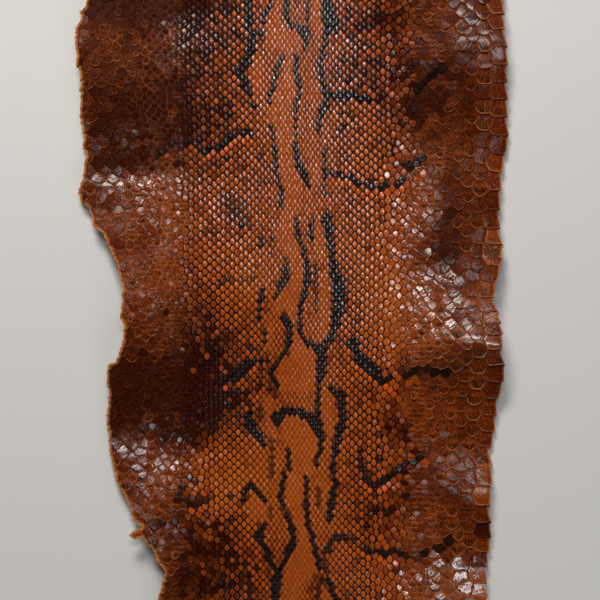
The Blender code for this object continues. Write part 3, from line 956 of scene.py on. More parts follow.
@dataclass(frozen=True)
class Markings:
    """Every marking, read at the middle of each scale so that its border follows the scales.

    Attributes:
        finest: least half-width of the flanks' strokes.
        finest_on_back: least half-width of the back's strokes.
    """

    finest: float = 2.7
    finest_on_back: float = 1.9

    def strongest(self, marks: Sequence[Union[Stroke, Area]], *where: Any) -> Array:
        """The strongest of some strokes or areas at each place."""
        return np.max([mark.strength(*where) for mark in marks], axis=0)

    def read(self, x: Array, y: Array) -> dict[str, Array]:
        """Dark, light and ember shares, the broad change of colour with its painted shade and sheen, and the
        gloss at each place.
        """
        px, py = pixel_x(x), pixel_y(y)
        back = self.strongest(BACK_STROKES, px, py, self.finest_on_back)
        side = self.strongest(SIDE_STROKES, px, py, self.finest)
        dark = np.maximum(np.maximum(back, side), self.strongest(DARK_AREAS, px, py))
        return {
            "dark": dark,
            "light": self.strongest(LIGHT_AREAS, px, py) * (1.0 - dark),
            "ember": self.strongest(EMBER_STROKES, px, py, self.finest) * (1.0 - dark),
            "tone_and_painted_light": sum(blotch.at(px, py) for blotch in TONE_AND_PAINTED_LIGHT_BLOTCHES),
            "gloss": sum(blotch.at(px, py) for blotch in SHINES),
        }


# The shape of a scale


@dataclass(frozen=True)
class Ring:
    """One ring of points round a scale.

    Attributes:
        reach: distance out, as a share of the scale's body.
        height: 0 in the groove, 1 on the body's face.
        push: share of the free edge's overhang that the ring has.
        rim: how much of the pale rim shows there.
    """

    reach: float
    height: float
    push: float = 0.0
    rim: float = 0.0


@dataclass(frozen=True)
class Form:
    """Shape of one kind of scale.

    Attributes:
        rise: height of the free edge, at the tail end.
        dome: height of the crown over the border.
        dish: how hollow the face is.
        lean: spread of the scales' small random leans, as a slope.
        fill: 0 for an oval body with wide grooves, 1 for one that fills its cell.
        narrow: half-width of the oval body.
        tall: half-height of the oval body.
        overhang: how far the free edge reaches over the next scale.
        samples: points on each side of the cell.
        rings: rings of points, from the groove inwards.
    """

    rise: float
    dome: float
    dish: float
    lean: float
    fill: float
    narrow: float
    tall: float
    overhang: float
    samples: int
    rings: tuple[Ring, ...]


PLAIN_RINGS = (Ring(1.08, 0.1), Ring(0.95, 0.9, 0.0, 1.0), Ring(0.55, 1.0))
LIPPED_RINGS = (
    Ring(1.025, 0.04), Ring(1.0, 0.8, 1.0, 1.0), Ring(0.95, 1.0, 0.8, 0.8), Ring(0.87, 0.96, 0.4, 0.0),
    Ring(0.66, 1.0), Ring(0.4, 1.0), Ring(0.2, 1.0),
)
SIDE_RINGS = (
    Ring(1.05, 0.06), Ring(1.0, 0.85, 1.0, 1.0), Ring(0.9, 1.0, 0.6, 0.6), Ring(0.6, 1.0), Ring(0.3, 1.0),
)

# A scale that leaned further would dip through the sheet.
STEEPEST_LEAN = 0.24

FORMS: dict[Kind, Form] = {
    Kind.BACK: Form(0.26, 0.3, 0.0, 0.1, 0.0, 2.1, 3.3, 0.0, 2, PLAIN_RINGS),
    Kind.SHOULDER: Form(0.45, 0.2, 0.07, 0.17, 0.5, 1.95, 3.1, 0.15, 2, SIDE_RINGS),
    Kind.SIDE: Form(0.9, 0.24, 0.1, 0.12, 0.85, 2.7, 4.2, 0.45, 3, SIDE_RINGS),
    Kind.FLANK: Form(1.65, 0.3, 0.12, 0.06, 1.0, 4.0, 6.0, 0.9, 5, LIPPED_RINGS),
    Kind.SCUTE: Form(1.7, 0.22, 0.05, 0.02, 1.0, 7.0, 6.0, 0.6, 7, LIPPED_RINGS),
    Kind.PUCKER: Form(0.3, 0.3, 0.0, 0.05, 0.8, 1.4, 1.4, 0.0, 2, PLAIN_RINGS),
}


@dataclass
class Soup:
    """Loose faces and the facts of their points, gathered before they are welded."""

    points: list[Array] = field(default_factory=list)
    facts: list[Array] = field(default_factory=list)
    quads: list[Array] = field(default_factory=list)
    triangles: list[Array] = field(default_factory=list)
    quad_cells: list[Array] = field(default_factory=list)
    triangle_cells: list[Array] = field(default_factory=list)
    size: int = 0

    def add(self, points: Array, facts: Array) -> int:
        """Add points with their facts and return the number of the first."""
        first = self.size
        self.points.append(points)
        self.facts.append(facts)
        self.size += len(points)
        return first


FACTS = ("body", "rim", "inner", "edge", "dark", "light", "ember", "tone_and_painted_light", "gloss", "tint", "flank", "scute",
         "lengthways")


class ScaledSide:
    """The upper side of the skin: all its scales, as one welded sheet that is then shared out."""

    ROUNDNESS = 12.0
    WELD = 0.002
    EDGE_BAND = 3.2
    SEED = 23
    BORDER_SEARCH = 30.0
    BORDER_ROOM = 0.2
    LARGEST_CUT = 40.0
    RING_GAP = 0.4
    LEAST_AREA = 1e-6
    GROOVE_DEPTH = 0.28
    GROOVE_FILL = 0.2
    TAILWARD = 1.25
    OUTERMOST = 0.985
    WALL = 0.9985
    LIP_EDGE = 0.6
    # Where a soft change starts or ends, and its run. The first three are measured from the spine.
    SHOULDER_GROWTH = (50.0, 60.0)
    GROOVE_RISE = (80.0, 40.0)
    FLANK_TONE = (62.0, 78.0)
    SCUTE_OUTER = (0.15, 3.0)
    SCUTE_END = (0.97, 0.06)
    BODY_END = (1.07, 0.1)

    def __init__(self, outline: Outline, lie: Lie, layout: Layout, markings: Markings) -> None:
        """Lay out the scales and read the markings at each."""
        self.lie = lie
        self.border = Border(outline.loop(), outline.bin_height)
        sites, kinds = layout.sites(outline.scute_tips)
        self.cells = Cells(sites, kinds, layout.squeeze)
        moving = self.cells.are(Kind.SHOULDER, Kind.SIDE, Kind.FLANK).astype(float)
        back = self.cells.are(Kind.BACK)
        for _ in range(layout.settling):
            one, other = self.cells.neighbours.T
            at_seam = np.zeros(len(kinds), bool)
            at_seam[self.cells.neighbours[kinds[one] != kinds[other]].ravel()] = True
            moving = np.where(back & at_seam, layout.seam_back_share, moving)
            self.cells.settle(moving * np.where(at_seam, layout.seam_share, layout.slack))
        self.marks = markings.read(self.cells.sites[:, 0], self.cells.sites[:, 1])
        self._draw_chances()
        self._sort_cells()
        self._collect_forms(layout)

    def _draw_chances(self) -> None:
        """Each scale's own tint and lean."""
        rng = np.random.default_rng(self.SEED)
        count = len(self.cells.sites)
        self.tint = rng.normal(0.0, 1.0, count)
        self.lean = rng.normal(0.0, 1.0, (count, 2))

    def _sort_cells(self) -> None:
        """Part the cells into whole ones and those that the border cuts."""
        inside, gap = self.border.locate(self.cells.sites, self.BORDER_SEARCH)
        near = gap < self.cells.radius + self.BORDER_ROOM
        kinds = self.cells.kinds
        real = ~self.cells.are(Kind.HOLE, Kind.OUTSIDE)
        one, other = self._samples(kinds)[self.cells.neighbours].T
        mixed = np.zeros(len(kinds), bool)
        mixed[self.cells.neighbours[one != other].ravel()] = True
        self.whole = inside & ~near & real & ~mixed
        self.cut = (near | (inside & mixed)) & (self.cells.radius < self.LARGEST_CUT)

    def _samples(self, kinds: Array) -> Array:
        """How many points each side of a cell has, by kind."""
        return np.array([FORMS[kind].samples if kind in FORMS else 1 for kind in Kind])[kinds]

    def _collect_forms(self, layout: Layout) -> None:
        """Each cell's shape values, taken from its kind."""
        kinds = self.cells.kinds
        blank = FORMS[Kind.FLANK]
        table = [FORMS.get(kind, blank) for kind in Kind]
        self.form = {
            name: np.array([getattr(form, name) for form in table])[kinds]
            for name in ("rise", "dome", "dish", "lean", "fill", "narrow", "tall", "overhang")
        }
        far = np.abs(self.cells.sites[:, 0] - SPINE_X)
        back = self.cells.are(Kind.BACK)
        growth = ramp(far, *self.SHOULDER_GROWTH) * back
        outer = FORMS[Kind.SHOULDER]
        for name in ("rise", "dome", "dish", "fill", "narrow", "tall"):
            self.form[name] = self.form[name] + growth * (getattr(outer, name) - self.form[name])
        slender = np.where(back, layout.gap_at(far) / layout.back_gap, 1.0)
        self.form["narrow"] = self.form["narrow"] * (0.3 + 0.7 * slender)

    def sheet_top(self, places: Array) -> Array:
        """Height of the skin between the scales."""
        return self.lie.underside(places[:, 0], places[:, 1]) + SKIN_THICKNESS

    def groove(self, places: Array) -> Array:
        """Height of the grooves, below the skin's face."""
        far = np.abs(places[:, 0] - SPINE_X)
        return self.GROOVE_FILL * ramp(far, *self.GROOVE_RISE) - self.GROOVE_DEPTH

    def crinkle(self, places: Array) -> Array:
        """Fine creases that break up the gloss, as a share of the scale's rise."""
        x, y = places[:, 0], places[:, 1]
        first = np.sin(3.1 * x + 1.3 * np.sin(0.9 * y)) * np.sin(1.9 * y + 2.1 * np.sin(0.7 * x) + 0.6)
        second = np.sin(1.7 * x - 2.6 * y + 1.7 * np.sin(0.5 * x + 0.4 * y))
        return 0.05 * first + 0.035 * second

    def body_reach(self, cell: Array, places: Array) -> Array:
        """Distance from the site to the border of the scale's body, on the way to each place."""
        arm = places - self.cells.sites[cell]
        far = np.maximum(length_of(arm), 1e-6)
        exact, rounded = self.cells.gauge(cell, places, self.ROUNDNESS)
        cell_reach = far / np.maximum(exact, 1e-6)
        round_reach = far / np.maximum(rounded, 1e-6)
        narrow, tall = self.form["narrow"][cell], self.form["tall"][cell]
        squared = (arm[:, 0] / far / narrow) ** 2 + (arm[:, 1] / far / tall) ** 2
        oval = 1.0 / np.sqrt(np.maximum(squared, 1e-9))
        oval = np.minimum(oval, 0.84 * round_reach)
        fill = self.form["fill"][cell]
        headward = fill * smooth(arm[:, 1] / far * 1.3 + 0.15)
        filled = 0.93 * round_reach * (1.0 - headward) + 0.97 * cell_reach * headward
        return np.minimum((1.0 - fill) * oval + fill * filled, (0.93 + 0.04 * headward) * cell_reach)

    def lengthways(self, cell: Array, arm: Array) -> Array:
        """How far along its cell each place lies, from -1 at the tail end to 1 at the head end."""
        return np.clip(arm[:, 1] / self.cells.half[cell, 1], -1.0, 1.0)

    def face_height(self, cell: Array, places: Array, out: Array) -> Array:
        """Height of a scale's face above the skin's.

        Args:
            cell: number of the cell of each place.
            places: the places.
            out: how far out on the body they lie, 1 at its border.
        """
        arm = places - self.cells.sites[cell]
        form = self.form
        lengthways = self.lengthways(cell, arm)
        held = np.clip(out, 0.0, 1.0)
        height = form["rise"][cell] * (0.5 - 0.48 * lengthways)
        height += form["dome"][cell] * (1.0 - held**2) * (0.75 - 0.25 * lengthways)
        height -= form["dish"][cell] * np.exp(-((held / 0.62) ** 2))
        lean = np.clip(form["lean"][cell][:, None] * self.lean[cell], -STEEPEST_LEAN, STEEPEST_LEAN)
        height += np.minimum(form["rise"][cell], 0.9) * self.crinkle(places)
        return height + (lean * arm).sum(axis=1)

    def surface(self, cell: Array, places: Array, height: Array, out: Array) -> Array:
        """Height of the upper side, where height runs from 0 in a groove to 1 on a scale's face."""
        face = self.face_height(cell, places, out)
        return self.sheet_top(places) + (1.0 - height) * self.groove(places) + height * face

    def fact_rows(self, cell: Array, places: Array, body: Array, rim: Array, out: Array) -> Array:
        """The facts of each point, in the order of FACTS."""
        site = self.cells.sites[cell]
        _, gap = self.border.locate(places, self.EDGE_BAND)
        columns = {
            **{name: values[cell] for name, values in self.marks.items()},
            "body": body,
            "rim": rim,
            "inner": 1.0 - np.clip(out, 0.0, 1.0),
            "edge": 1.0 - gap / self.EDGE_BAND,
            "tint": self.tint[cell],
            "flank": ramp(np.abs(site[:, 0] - SPINE_X), *self.FLANK_TONE),
            "scute": self.cells.are(Kind.SCUTE)[cell].astype(float),
            "lengthways": self.lengthways(cell, places - site),
        }
        return np.stack([columns[name] for name in FACTS], axis=1)

    def add_whole(self, soup: Soup, kind: Kind) -> None:
        """Add every whole scale of one kind, grouped by its number of corners."""
        form = FORMS[kind]
        chosen = self.whole & self.cells.are(kind)
        for corners in range(3, Cells.MOST_CORNERS + 1):
            cell = np.flatnonzero(chosen & (self.cells.counts == corners))
            if len(cell):
                self._add_group(soup, form, cell, corners)

    def _add_group(self, soup: Soup, form: Form, cell: Array, corners: int) -> None:
        """Add whole scales that have the same number of corners."""
        around = corners * form.samples
        flat_cell = np.repeat(cell, around)
        flat_edge = split_sides(self.cells.corners[cell, :corners], form.samples).reshape(-1, 2)
        site = self.cells.sites[flat_cell]
        arm = flat_edge - site
        far = length_of(arm)
        way = arm / far[:, None]
        reach = self.body_reach(flat_cell, flat_edge)
        tailward = smooth(-way[:, 1] * self.TAILWARD) if form.overhang else np.zeros(len(way))
        layers = [self._layer(flat_cell, flat_edge, Ring(far.max(), 0.0), far / reach)]
        for ring in form.rings:
            out = np.minimum(ring.reach * reach, self.OUTERMOST * far)
            places = site + way * out[:, None]
            layer = self._layer(flat_cell, places, ring, out / reach)
            shift = form.overhang * ring.push * tailward
            layer[0][:, :2] += way * shift[:, None]
            layers.append(layer)
        centre = self._layer(cell, self.cells.sites[cell], Ring(0.0, 1.0), np.zeros(len(cell)))
        rings = len(layers)
        stacked = np.stack([layer[0].reshape(len(cell), around, 3) for layer in layers], axis=1)
        facts = np.stack([layer[1].reshape(len(cell), around, -1) for layer in layers], axis=1)
        block = rings * around + 1
        points = np.concatenate([stacked.reshape(len(cell), -1, 3), centre[0][:, None]], axis=1)
        rows = np.concatenate([facts.reshape(len(cell), rings * around, -1), centre[1][:, None]], axis=1)
        first = soup.add(points.reshape(-1, 3), rows.reshape(-1, rows.shape[2]))
        base = first + np.arange(len(cell)) * block
        turn = np.arange(around)
        onward = (turn + 1) % around
        ladder = np.stack([turn, onward, around + onward, around + turn], axis=1)
        pattern = np.concatenate([ladder + r * around for r in range(rings - 1)])
        last = (rings - 1) * around
        fan = np.stack([last + turn, last + onward, np.full(around, block - 1)], axis=1)
        soup.quads.append((base[:, None, None] + pattern).reshape(-1, 4))
        soup.quad_cells.append(np.repeat(cell, len(pattern)))
        soup.triangles.append((base[:, None, None] + fan).reshape(-1, 3))
        soup.triangle_cells.append(np.repeat(cell, len(fan)))

    def _layer(self, cell: Array, places: Array, ring: Ring, out: Array) -> tuple[Array, Array]:
        """One ring's points and facts."""
        height = np.full(len(cell), ring.height)
        z = self.surface(cell, places, height, out)
        end, run = self.BODY_END
        body = smooth((end - out) / run)
        body = np.where(height > 0.5, np.maximum(body, 0.85), body * (height > 0.0))
        rim = np.full(len(cell), ring.rim)
        return np.column_stack([places, z]), self.fact_rows(cell, places, body, rim, out)

    def add_cut(self, soup: Soup) -> None:
        """Add the scales that the border cuts, joined by triangles that keep to the border."""
        points: list[Array] = []
        edges: list[Array] = []
        size = 0
        for number in np.flatnonzero(self.cut):
            loop = self._cell_loop(number)
            turn = np.arange(len(loop))
            points.append(loop)
            edges.append(np.stack([turn, (turn + 1) % len(loop)], axis=1) + size)
            size += len(loop)
            kind = Kind(int(self.cells.kinds[number]))
            if kind in FORMS:
                fill = self._ring_places(number, loop, FORMS[kind])
                inside, gap = self.border.locate(fill, 1.0)
                fill = fill[inside & (gap > self.RING_GAP)]
                points.append(fill)
                size += len(fill)
        rim = self.border.points
        turn = np.arange(len(rim)) + size
        points.append(rim)
        flat = np.concatenate(points)
        walls = np.concatenate(edges)
        verts, _, faces, origins, _, within = delaunay_2d_cdt(
            [Vector(p) for p in flat], [tuple(map(int, e)) for e in walls], [turn.tolist()], 0, 1e-4
        )
        kept = np.array([face for face, owners in zip(faces, within) if owners])
        flat = np.array([flat[sources[0]] if sources else tuple(v) for v, sources in zip(verts, origins)])
        middle = flat[kept].mean(axis=1)
        tree = KDTree(len(self.cells.sites))
        for index, site in enumerate(self.cells.sites):
            tree.insert((site[0], site[1], 0.0), index)
        tree.balance()
        nearest = np.array([[hit[1] for hit in tree.find_n((x, y, 0.0), 3)] for x, y in middle])
        exact = [self.cells.gauge(nearest[:, i], middle, self.ROUNDNESS)[0] for i in range(3)]
        shares = np.stack(exact, axis=1)
        owner = nearest[np.arange(len(middle)), shares.argmin(axis=1)]
        real = self.cut[owner] & ~self.cells.are(Kind.HOLE)[owner]
        kept, owner = kept[real], owner[real]
        outside = self.cells.are(Kind.OUTSIDE)[owner]
        owner = np.where(outside, self._nearest_scute(middle[real]), owner)
        area = doubled_areas(flat, kept)
        kept = np.where(area[:, None] < 0.0, kept[:, ::-1], kept)
        good = np.abs(area) > self.LEAST_AREA
        kept, owner = kept[good], owner[good]
        self._add_loose(soup, flat[kept.ravel()], owner)

    def _nearest_scute(self, places: Array) -> Array:
        """The belly scute whose stretch of the border each place is on."""
        scutes = np.flatnonzero(self.cells.are(Kind.SCUTE))
        scutes = scutes[np.argsort(self.cells.sites[scutes, 1])]
        heights = self.cells.sites[scutes, 1]
        between = (heights[1:] + heights[:-1]) / 2.0
        return scutes[np.searchsorted(between, places[:, 1])]

    def _add_loose(self, soup: Soup, places: Array, owner: Array) -> None:
        """Add triangles whose points are given face by face, with the cell that owns each face."""
        cell = np.repeat(owner, 3)
        arm = places - self.cells.sites[cell]
        out = length_of(arm) / self.body_reach(cell, places)
        exact, _ = self.cells.gauge(cell, places, self.ROUNDNESS)
        height, push, rim = np.zeros(len(cell)), np.zeros(len(cell)), np.zeros(len(cell))
        for kind, form in FORMS.items():
            of_kind = self.cells.are(kind)[cell]
            steps = sorted((ring.reach, ring.height, ring.push, ring.rim) for ring in form.rings)
            reaches = [step[0] for step in steps]
            for values, index in ((height, 1), (push, 2), (rim, 3)):
                values[of_kind] = np.interp(out[of_kind], reaches, [step[index] for step in steps])
        on_wall = exact > self.WALL
        height[on_wall] = 0.0
        scute = self.cells.are(Kind.SCUTE)[cell]
        height = np.where(scute, self._scute_height(cell, arm, height), height)
        z = self.surface(cell, places, height, out)
        body = np.clip(height * 1.6, 0.0, 1.0)
        facts = self.fact_rows(cell, places, body, rim, out)
        clear = facts[:, FACTS.index("edge")] < self.LIP_EDGE
        way = arm / np.maximum(length_of(arm), 1e-6)[:, None]
        tailward = smooth(-way[:, 1] * self.TAILWARD)
        shift = self.form["overhang"][cell] * push * tailward * (clear & ~on_wall)
        places = places + way * shift[:, None]
        first = soup.add(np.column_stack([places, z]), facts)
        soup.triangles.append(first + np.arange(len(places)).reshape(-1, 3))
        soup.triangle_cells.append(owner)

    def _scute_height(self, cell: Array, arm: Array, height: Array) -> Array:
        """A scute's face runs out to the border, without a groove there."""
        start, run = self.SCUTE_OUTER
        outer = ramp(arm[:, 0], start * self.cells.half[cell, 0], run)
        end, run = self.SCUTE_END
        open_face = smooth((end - np.abs(self.lengthways(cell, arm))) / run)
        return np.where(arm[:, 0] > 0.0, np.maximum(height, outer * open_face), height)

    def _cell_loop(self, number: int) -> Array:
        """A cut cell's border, with the points that its whole neighbours have."""
        corners = self.cells.corners[number, :self.cells.counts[number]]
        return split_sides(corners[None], int(self._samples(self.cells.kinds[number])))[0]

    def _ring_places(self, number: int, loop: Array, form: Form) -> Array:
        """The places of a cut scale's rings."""
        site = self.cells.sites[number]
        cell = np.full(len(loop), number)
        arm = loop - site
        far = length_of(arm)
        way = arm / np.maximum(far, 1e-6)[:, None]
        reach = self.body_reach(cell, loop)
        outs = [np.minimum(ring.reach * reach, self.OUTERMOST * far) for ring in form.rings]
        return np.concatenate([site + way * out[:, None] for out in outs] + [site[None]])

    def build(self) -> "Sheet":
        """Make the whole upper side and weld it."""
        soup = Soup()
        for kind in FORMS:
            self.add_whole(soup, kind)
        self.add_cut(soup)
        return Sheet.weld(soup, self.WELD)


@dataclass
class Sheet:
    """A welded sheet: points, facts, faces and the cell of each face."""

    points: Array
    facts: Array
    quads: Array
    triangles: Array
    quad_cells: Array
    triangle_cells: Array

    @classmethod
    def weld(cls, soup: Soup, gap: float) -> "Sheet":
        """Join points that lie at the same place and average their facts."""
        points = np.concatenate(soup.points)
        facts = np.concatenate(soup.facts)
        keys = np.round(points / gap).astype(np.int64)
        _, first, place, count = np.unique(
            keys, axis=0, return_index=True, return_inverse=True, return_counts=True
        )
        place = place.ravel()
        mean = np.stack([np.bincount(place, facts[:, i]) / count for i in range(facts.shape[1])], axis=1)
        quads = place[np.concatenate(soup.quads)]
        triangles = place[np.concatenate(soup.triangles)]
        quad_cells = np.concatenate(soup.quad_cells)
        triangle_cells = np.concatenate(soup.triangle_cells)
        sound = (
            (triangles[:, 0] != triangles[:, 1])
            & (triangles[:, 1] != triangles[:, 2])
            & (triangles[:, 2] != triangles[:, 0])
        )
        return cls(points[first], mean, quads, triangles[sound], quad_cells, triangle_cells[sound])

    def open_loops(self) -> list[Array]:
        """Closed chains of the points on the sheet's border and round its holes."""
        sides = [self.quads[:, [i, (i + 1) % 4]] for i in range(4)]
        sides += [self.triangles[:, [i, (i + 1) % 3]] for i in range(3)]
        directed = np.concatenate(sides)
        count = len(self.points)
        key = directed[:, 0] * count + directed[:, 1]
        back = directed[:, 1] * count + directed[:, 0]
        loose = directed[~np.isin(key, back)]
        onward: dict[int, list[int]] = {}
        for a, b in loose.tolist():
            onward.setdefault(a, []).append(b)
        loops = []
        while onward:
            start = next(iter(onward))
            chain = [start]
            current = start
            while current in onward:
                following = onward[current].pop()
                if not onward[current]:
                    del onward[current]
                current = following
                if current == start:
                    break
                chain.append(current)
            loops.append(np.array(chain))
        return loops


# Meshes


def make_piece(name: str, points: Array, faces: Sequence[Array], facts: dict[str, Array]) -> Any:
    """Make one object from points in millimetres.

    Args:
        name: the object's name.
        points: the points, one a row.
        faces: arrays of faces, each with one number of corners.
        facts: one value a point for each named attribute.

    Returns:
        The object, linked, smooth and with a map, named for baking, that lays its places flat from above.
    """
    mesh = bpy.data.meshes.new(name)
    used = np.zeros(len(points), bool)
    for group in faces:
        used[group.ravel()] = True
    renumber = np.cumsum(used) - 1
    points = points[used] * MM
    mesh.vertices.add(len(points))
    mesh.vertices.foreach_set("co", points.astype(np.float32).ravel())
    corners = np.concatenate([renumber[group].ravel() for group in faces]).astype(np.int32)
    sizes = np.concatenate([np.full(len(group), group.shape[1]) for group in faces])
    starts = (np.cumsum(sizes) - sizes).astype(np.int32)
    mesh.loops.add(len(corners))
    mesh.loops.foreach_set("vertex_index", corners)
    mesh.polygons.add(len(sizes))
    mesh.polygons.foreach_set("loop_start", starts)
    mesh.update(calc_edges=True)
    for key, values in facts.items():
        attribute = mesh.attributes.new(key, "FLOAT", "POINT")
        attribute.data.foreach_set("value", values[used].astype(np.float32))
    low, high = points[:, :2].min(axis=0), points[:, :2].max(axis=0)
    spread = (points[:, :2] - low) / (high - low)
    bake = mesh.uv_layers.new(name=BAKE_MAP)
    bake.data.foreach_set("uv", spread[corners].astype(np.float32).ravel())
    mesh.shade_smooth()
    mesh.validate()
    piece = bpy.data.objects.new(name, mesh)
    bpy.context.scene.collection.objects.link(piece)
    return piece


def turned_area(loop: Array) -> float:
    """Area inside a closed loop, below zero when it runs clockwise."""
    onward = np.roll(loop, -1, axis=0)
    return float((loop[:, 0] * onward[:, 1] - onward[:, 0] * loop[:, 1]).sum()) / 2.0


@dataclass(frozen=True)
class FleshSide:
    """The inner side of the skin and the cut edge all round it."""

    lie: Lie
    spacing: float = 3.6
    half_width: float = 190.0
    clearance: float = 1.5
    edge_bulge: float = 0.18
    least_loop: float = 2.5

    def build(self, sheet: Sheet) -> Any:
        """Close the sheet from below.

        Args:
            sheet: the upper side, whose open border the edge follows.

        Returns:
            The flesh side as an object.
        """
        open_loops = sheet.open_loops()
        loops = [loop for loop in open_loops if abs(turned_area(sheet.points[loop])) > self.least_loop]
        loops.sort(key=len, reverse=True)
        log.info("open loops: %s", [len(loop) for loop in loops])
        rims = [sheet.points[loop] for loop in loops]
        flat = [rim[:, :2] for rim in rims]
        outer = Border(flat[0], 5.0)
        grid = self._grid()
        inside, gap = outer.locate(grid, 4.0)
        keep = inside & (gap > self.clearance)
        for hole in flat[1:]:
            within, gap = Border(hole, 5.0).locate(grid, 4.0)
            keep &= ~within & (gap > self.clearance)
        grid = grid[keep]
        flat_points = np.concatenate(flat + [grid])
        rings, outlines, start = [], [], 0
        for rim in flat:
            ring = (np.arange(len(rim)) + start).tolist()
            rings.append(ring)
            outlines.append(ring[::-1] if turned_area(rim) < 0.0 else ring)
            start += len(rim)
        verts, _, faces, origins, _, within = delaunay_2d_cdt(
            [Vector(p) for p in flat_points], [], outlines, 0, 1e-5
        )
        floor = np.array([tuple(v) for v in verts])
        inner = np.array([face for face, owners in zip(faces, within) if list(owners) == [0]])
        inner = np.where(doubled_areas(floor, inner)[:, None] > 0.0, inner[:, ::-1], inner)
        number = {source: index for index, sources in enumerate(origins) for source in sources}
        z = self.lie.underside(floor[:, 0], floor[:, 1])
        points = [np.column_stack([floor, z])]
        edge = [np.zeros(len(floor))]
        walls, size = [], len(floor)
        for rim, ring in zip(rims, rings):
            below = np.array([number[i] for i in ring])
            middle = rim.copy()
            middle[:, 2] = (rim[:, 2] + z[below]) / 2.0
            run = np.roll(rim[:, :2], -1, axis=0) - np.roll(rim[:, :2], 1, axis=0)
            run /= np.maximum(length_of(run), 1e-6)[:, None]
            wander = 0.6 + 0.4 * np.sin(np.arange(len(rim)) * 1.7)
            middle[:, 0] += run[:, 1] * self.edge_bulge * wander
            middle[:, 1] -= run[:, 0] * self.edge_bulge * wander
            points += [rim, middle]
            edge += [np.ones(len(rim)), np.ones(len(rim))]
            top = size + np.arange(len(rim))
            half = top + len(rim)
            size += 2 * len(rim)
            walls.append(np.stack([top, half, np.roll(half, -1), np.roll(top, -1)], axis=1))
            walls.append(np.stack([half, below, np.roll(below, -1), np.roll(half, -1)], axis=1))
        return make_piece(
            "flesh_side",
            np.concatenate(points),
            [np.concatenate(walls), inner],
            {"edge": np.concatenate(edge)},
        )

    def _grid(self) -> Array:
        """An even net of places over the whole skin."""
        row_gap = self.spacing * math.sqrt(3.0) / 2.0
        rows = np.arange(-int(HALF_LENGTH / row_gap), int(HALF_LENGTH / row_gap) + 1)
        columns = np.arange(-int(self.half_width / self.spacing), int(self.half_width / self.spacing) + 1)
        row, column = np.meshgrid(rows, columns, indexing="ij")
        return np.stack([
            ((column + 0.5 * (row % 2)) * self.spacing).ravel(), (row * row_gap).ravel()
        ], axis=1)


@dataclass(frozen=True)
class Fringe:
    """Short torn fibres, many along the left edge, some at the cut ends and a few elsewhere."""

    lie: Lie
    per_torn_point: float = 0.55
    per_end_point: float = 0.22
    per_other_point: float = 0.05
    length: float = 1.5
    thickness: float = 0.09
    steps: int = 4

    def build(self, border: Border) -> Any:
        """Make every fibre as one joined mesh."""
        rng = np.random.default_rng(3)
        rim = border.points
        run = np.roll(rim, -1, axis=0) - np.roll(rim, 1, axis=0)
        run /= length_of(run)[:, None]
        outward = np.stack([run[:, 1], -run[:, 0]], axis=1)
        torn = rim[:, 0] < -60.0
        ends = (np.abs(rim[:, 1]) > HALF_LENGTH - 0.2) & (rim[:, 0] < 100.0)
        untorn = np.where(ends, self.per_end_point, self.per_other_point)
        chance = np.where(torn, self.per_torn_point, untorn)
        chosen = np.flatnonzero(rng.random(len(rim)) < chance)
        points, faces = [], []
        size = 0
        for index in chosen:
            root = rim[index] - outward[index] * 0.5
            z = float(self.lie.underside(root[:1], root[1:])[0]) + rng.uniform(0.3, 1.3)
            length = self.length * rng.gamma(2.2, 0.45)
            swing = rng.normal(0.0, 0.7)
            curl = rng.normal(0.0, 0.8)
            lift = rng.normal(0.0, 0.3)
            strand = []
            for step in range(self.steps + 1):
                share = step / self.steps
                turn = swing + curl * share
                way = outward[index] * math.cos(turn) + run[index] * math.sin(turn)
                place = root + way * length * share
                height = max(z + lift * length * share, 0.1)
                radius = self.thickness * (1.0 - 0.75 * share)
                for side in range(3):
                    spin = 2.0 * math.pi * side / 3.0
                    strand.append((
                        place[0] - way[1] * radius * math.cos(spin),
                        place[1] + way[0] * radius * math.cos(spin),
                        height + radius * math.sin(spin),
                    ))
            points.append(np.array(strand))
            for step in range(self.steps):
                for side in range(3):
                    low, high = size + step * 3, size + step * 3 + 3
                    faces.append((low + side, low + (side + 1) % 3, high + (side + 1) % 3, high + side))
            size += len(strand)
        return make_piece("torn_fibres", np.concatenate(points), [np.array(faces)], {})


# Materials


def srgb(colour: Colour) -> tuple[float, float, float, float]:
    """A colour given from 0 to 255 as the eye sees it, made linear."""
    linear = []
    for part in colour:
        share = part / 255.0
        linear.append(share / 12.92 if share <= 0.04045 else ((share + 0.055) / 1.055) ** 2.4)
    return (linear[0], linear[1], linear[2], 1.0)


class Value:
    """One number or colour on its way through a material's nodes."""

    def __init__(self, graph: "Graph", socket: Any) -> None:
        """Wrap an output socket."""
        self.graph = graph
        self.socket = socket

    def _math(self, operation: str, *values: Any, clamp: bool = False) -> "Value":
        """A Math node on this and other values."""
        return self.graph.math(operation, *values, clamp=clamp)

    def __add__(self, other: Any) -> "Value":
        """Sum."""
        return self._math("ADD", self, other)

    def __radd__(self, other: Any) -> "Value":
        """Sum, with a plain number first."""
        return self._math("ADD", other, self)

    def __sub__(self, other: Any) -> "Value":
        """Difference."""
        return self._math("SUBTRACT", self, other)

    def __rsub__(self, other: Any) -> "Value":
        """Difference from a plain number."""
        return self._math("SUBTRACT", other, self)

    def __mul__(self, other: Any) -> "Value":
        """Product."""
        return self._math("MULTIPLY", self, other)

    def __rmul__(self, other: Any) -> "Value":
        """Product, with a plain number first."""
        return self._math("MULTIPLY", other, self)

    def __truediv__(self, other: Any) -> "Value":
        """Quotient."""
        return self._math("DIVIDE", self, other)

    def clamp(self) -> "Value":
        """Held between 0 and 1."""
        return self._math("ADD", self, 0.0, clamp=True)

    def above(self, low: Any, high: float) -> "Value":
        """0 below low, 1 above high, and soft between."""
        held = ((self - low) / (high - low)).clamp()
        return held * held * (3.0 - 2.0 * held)


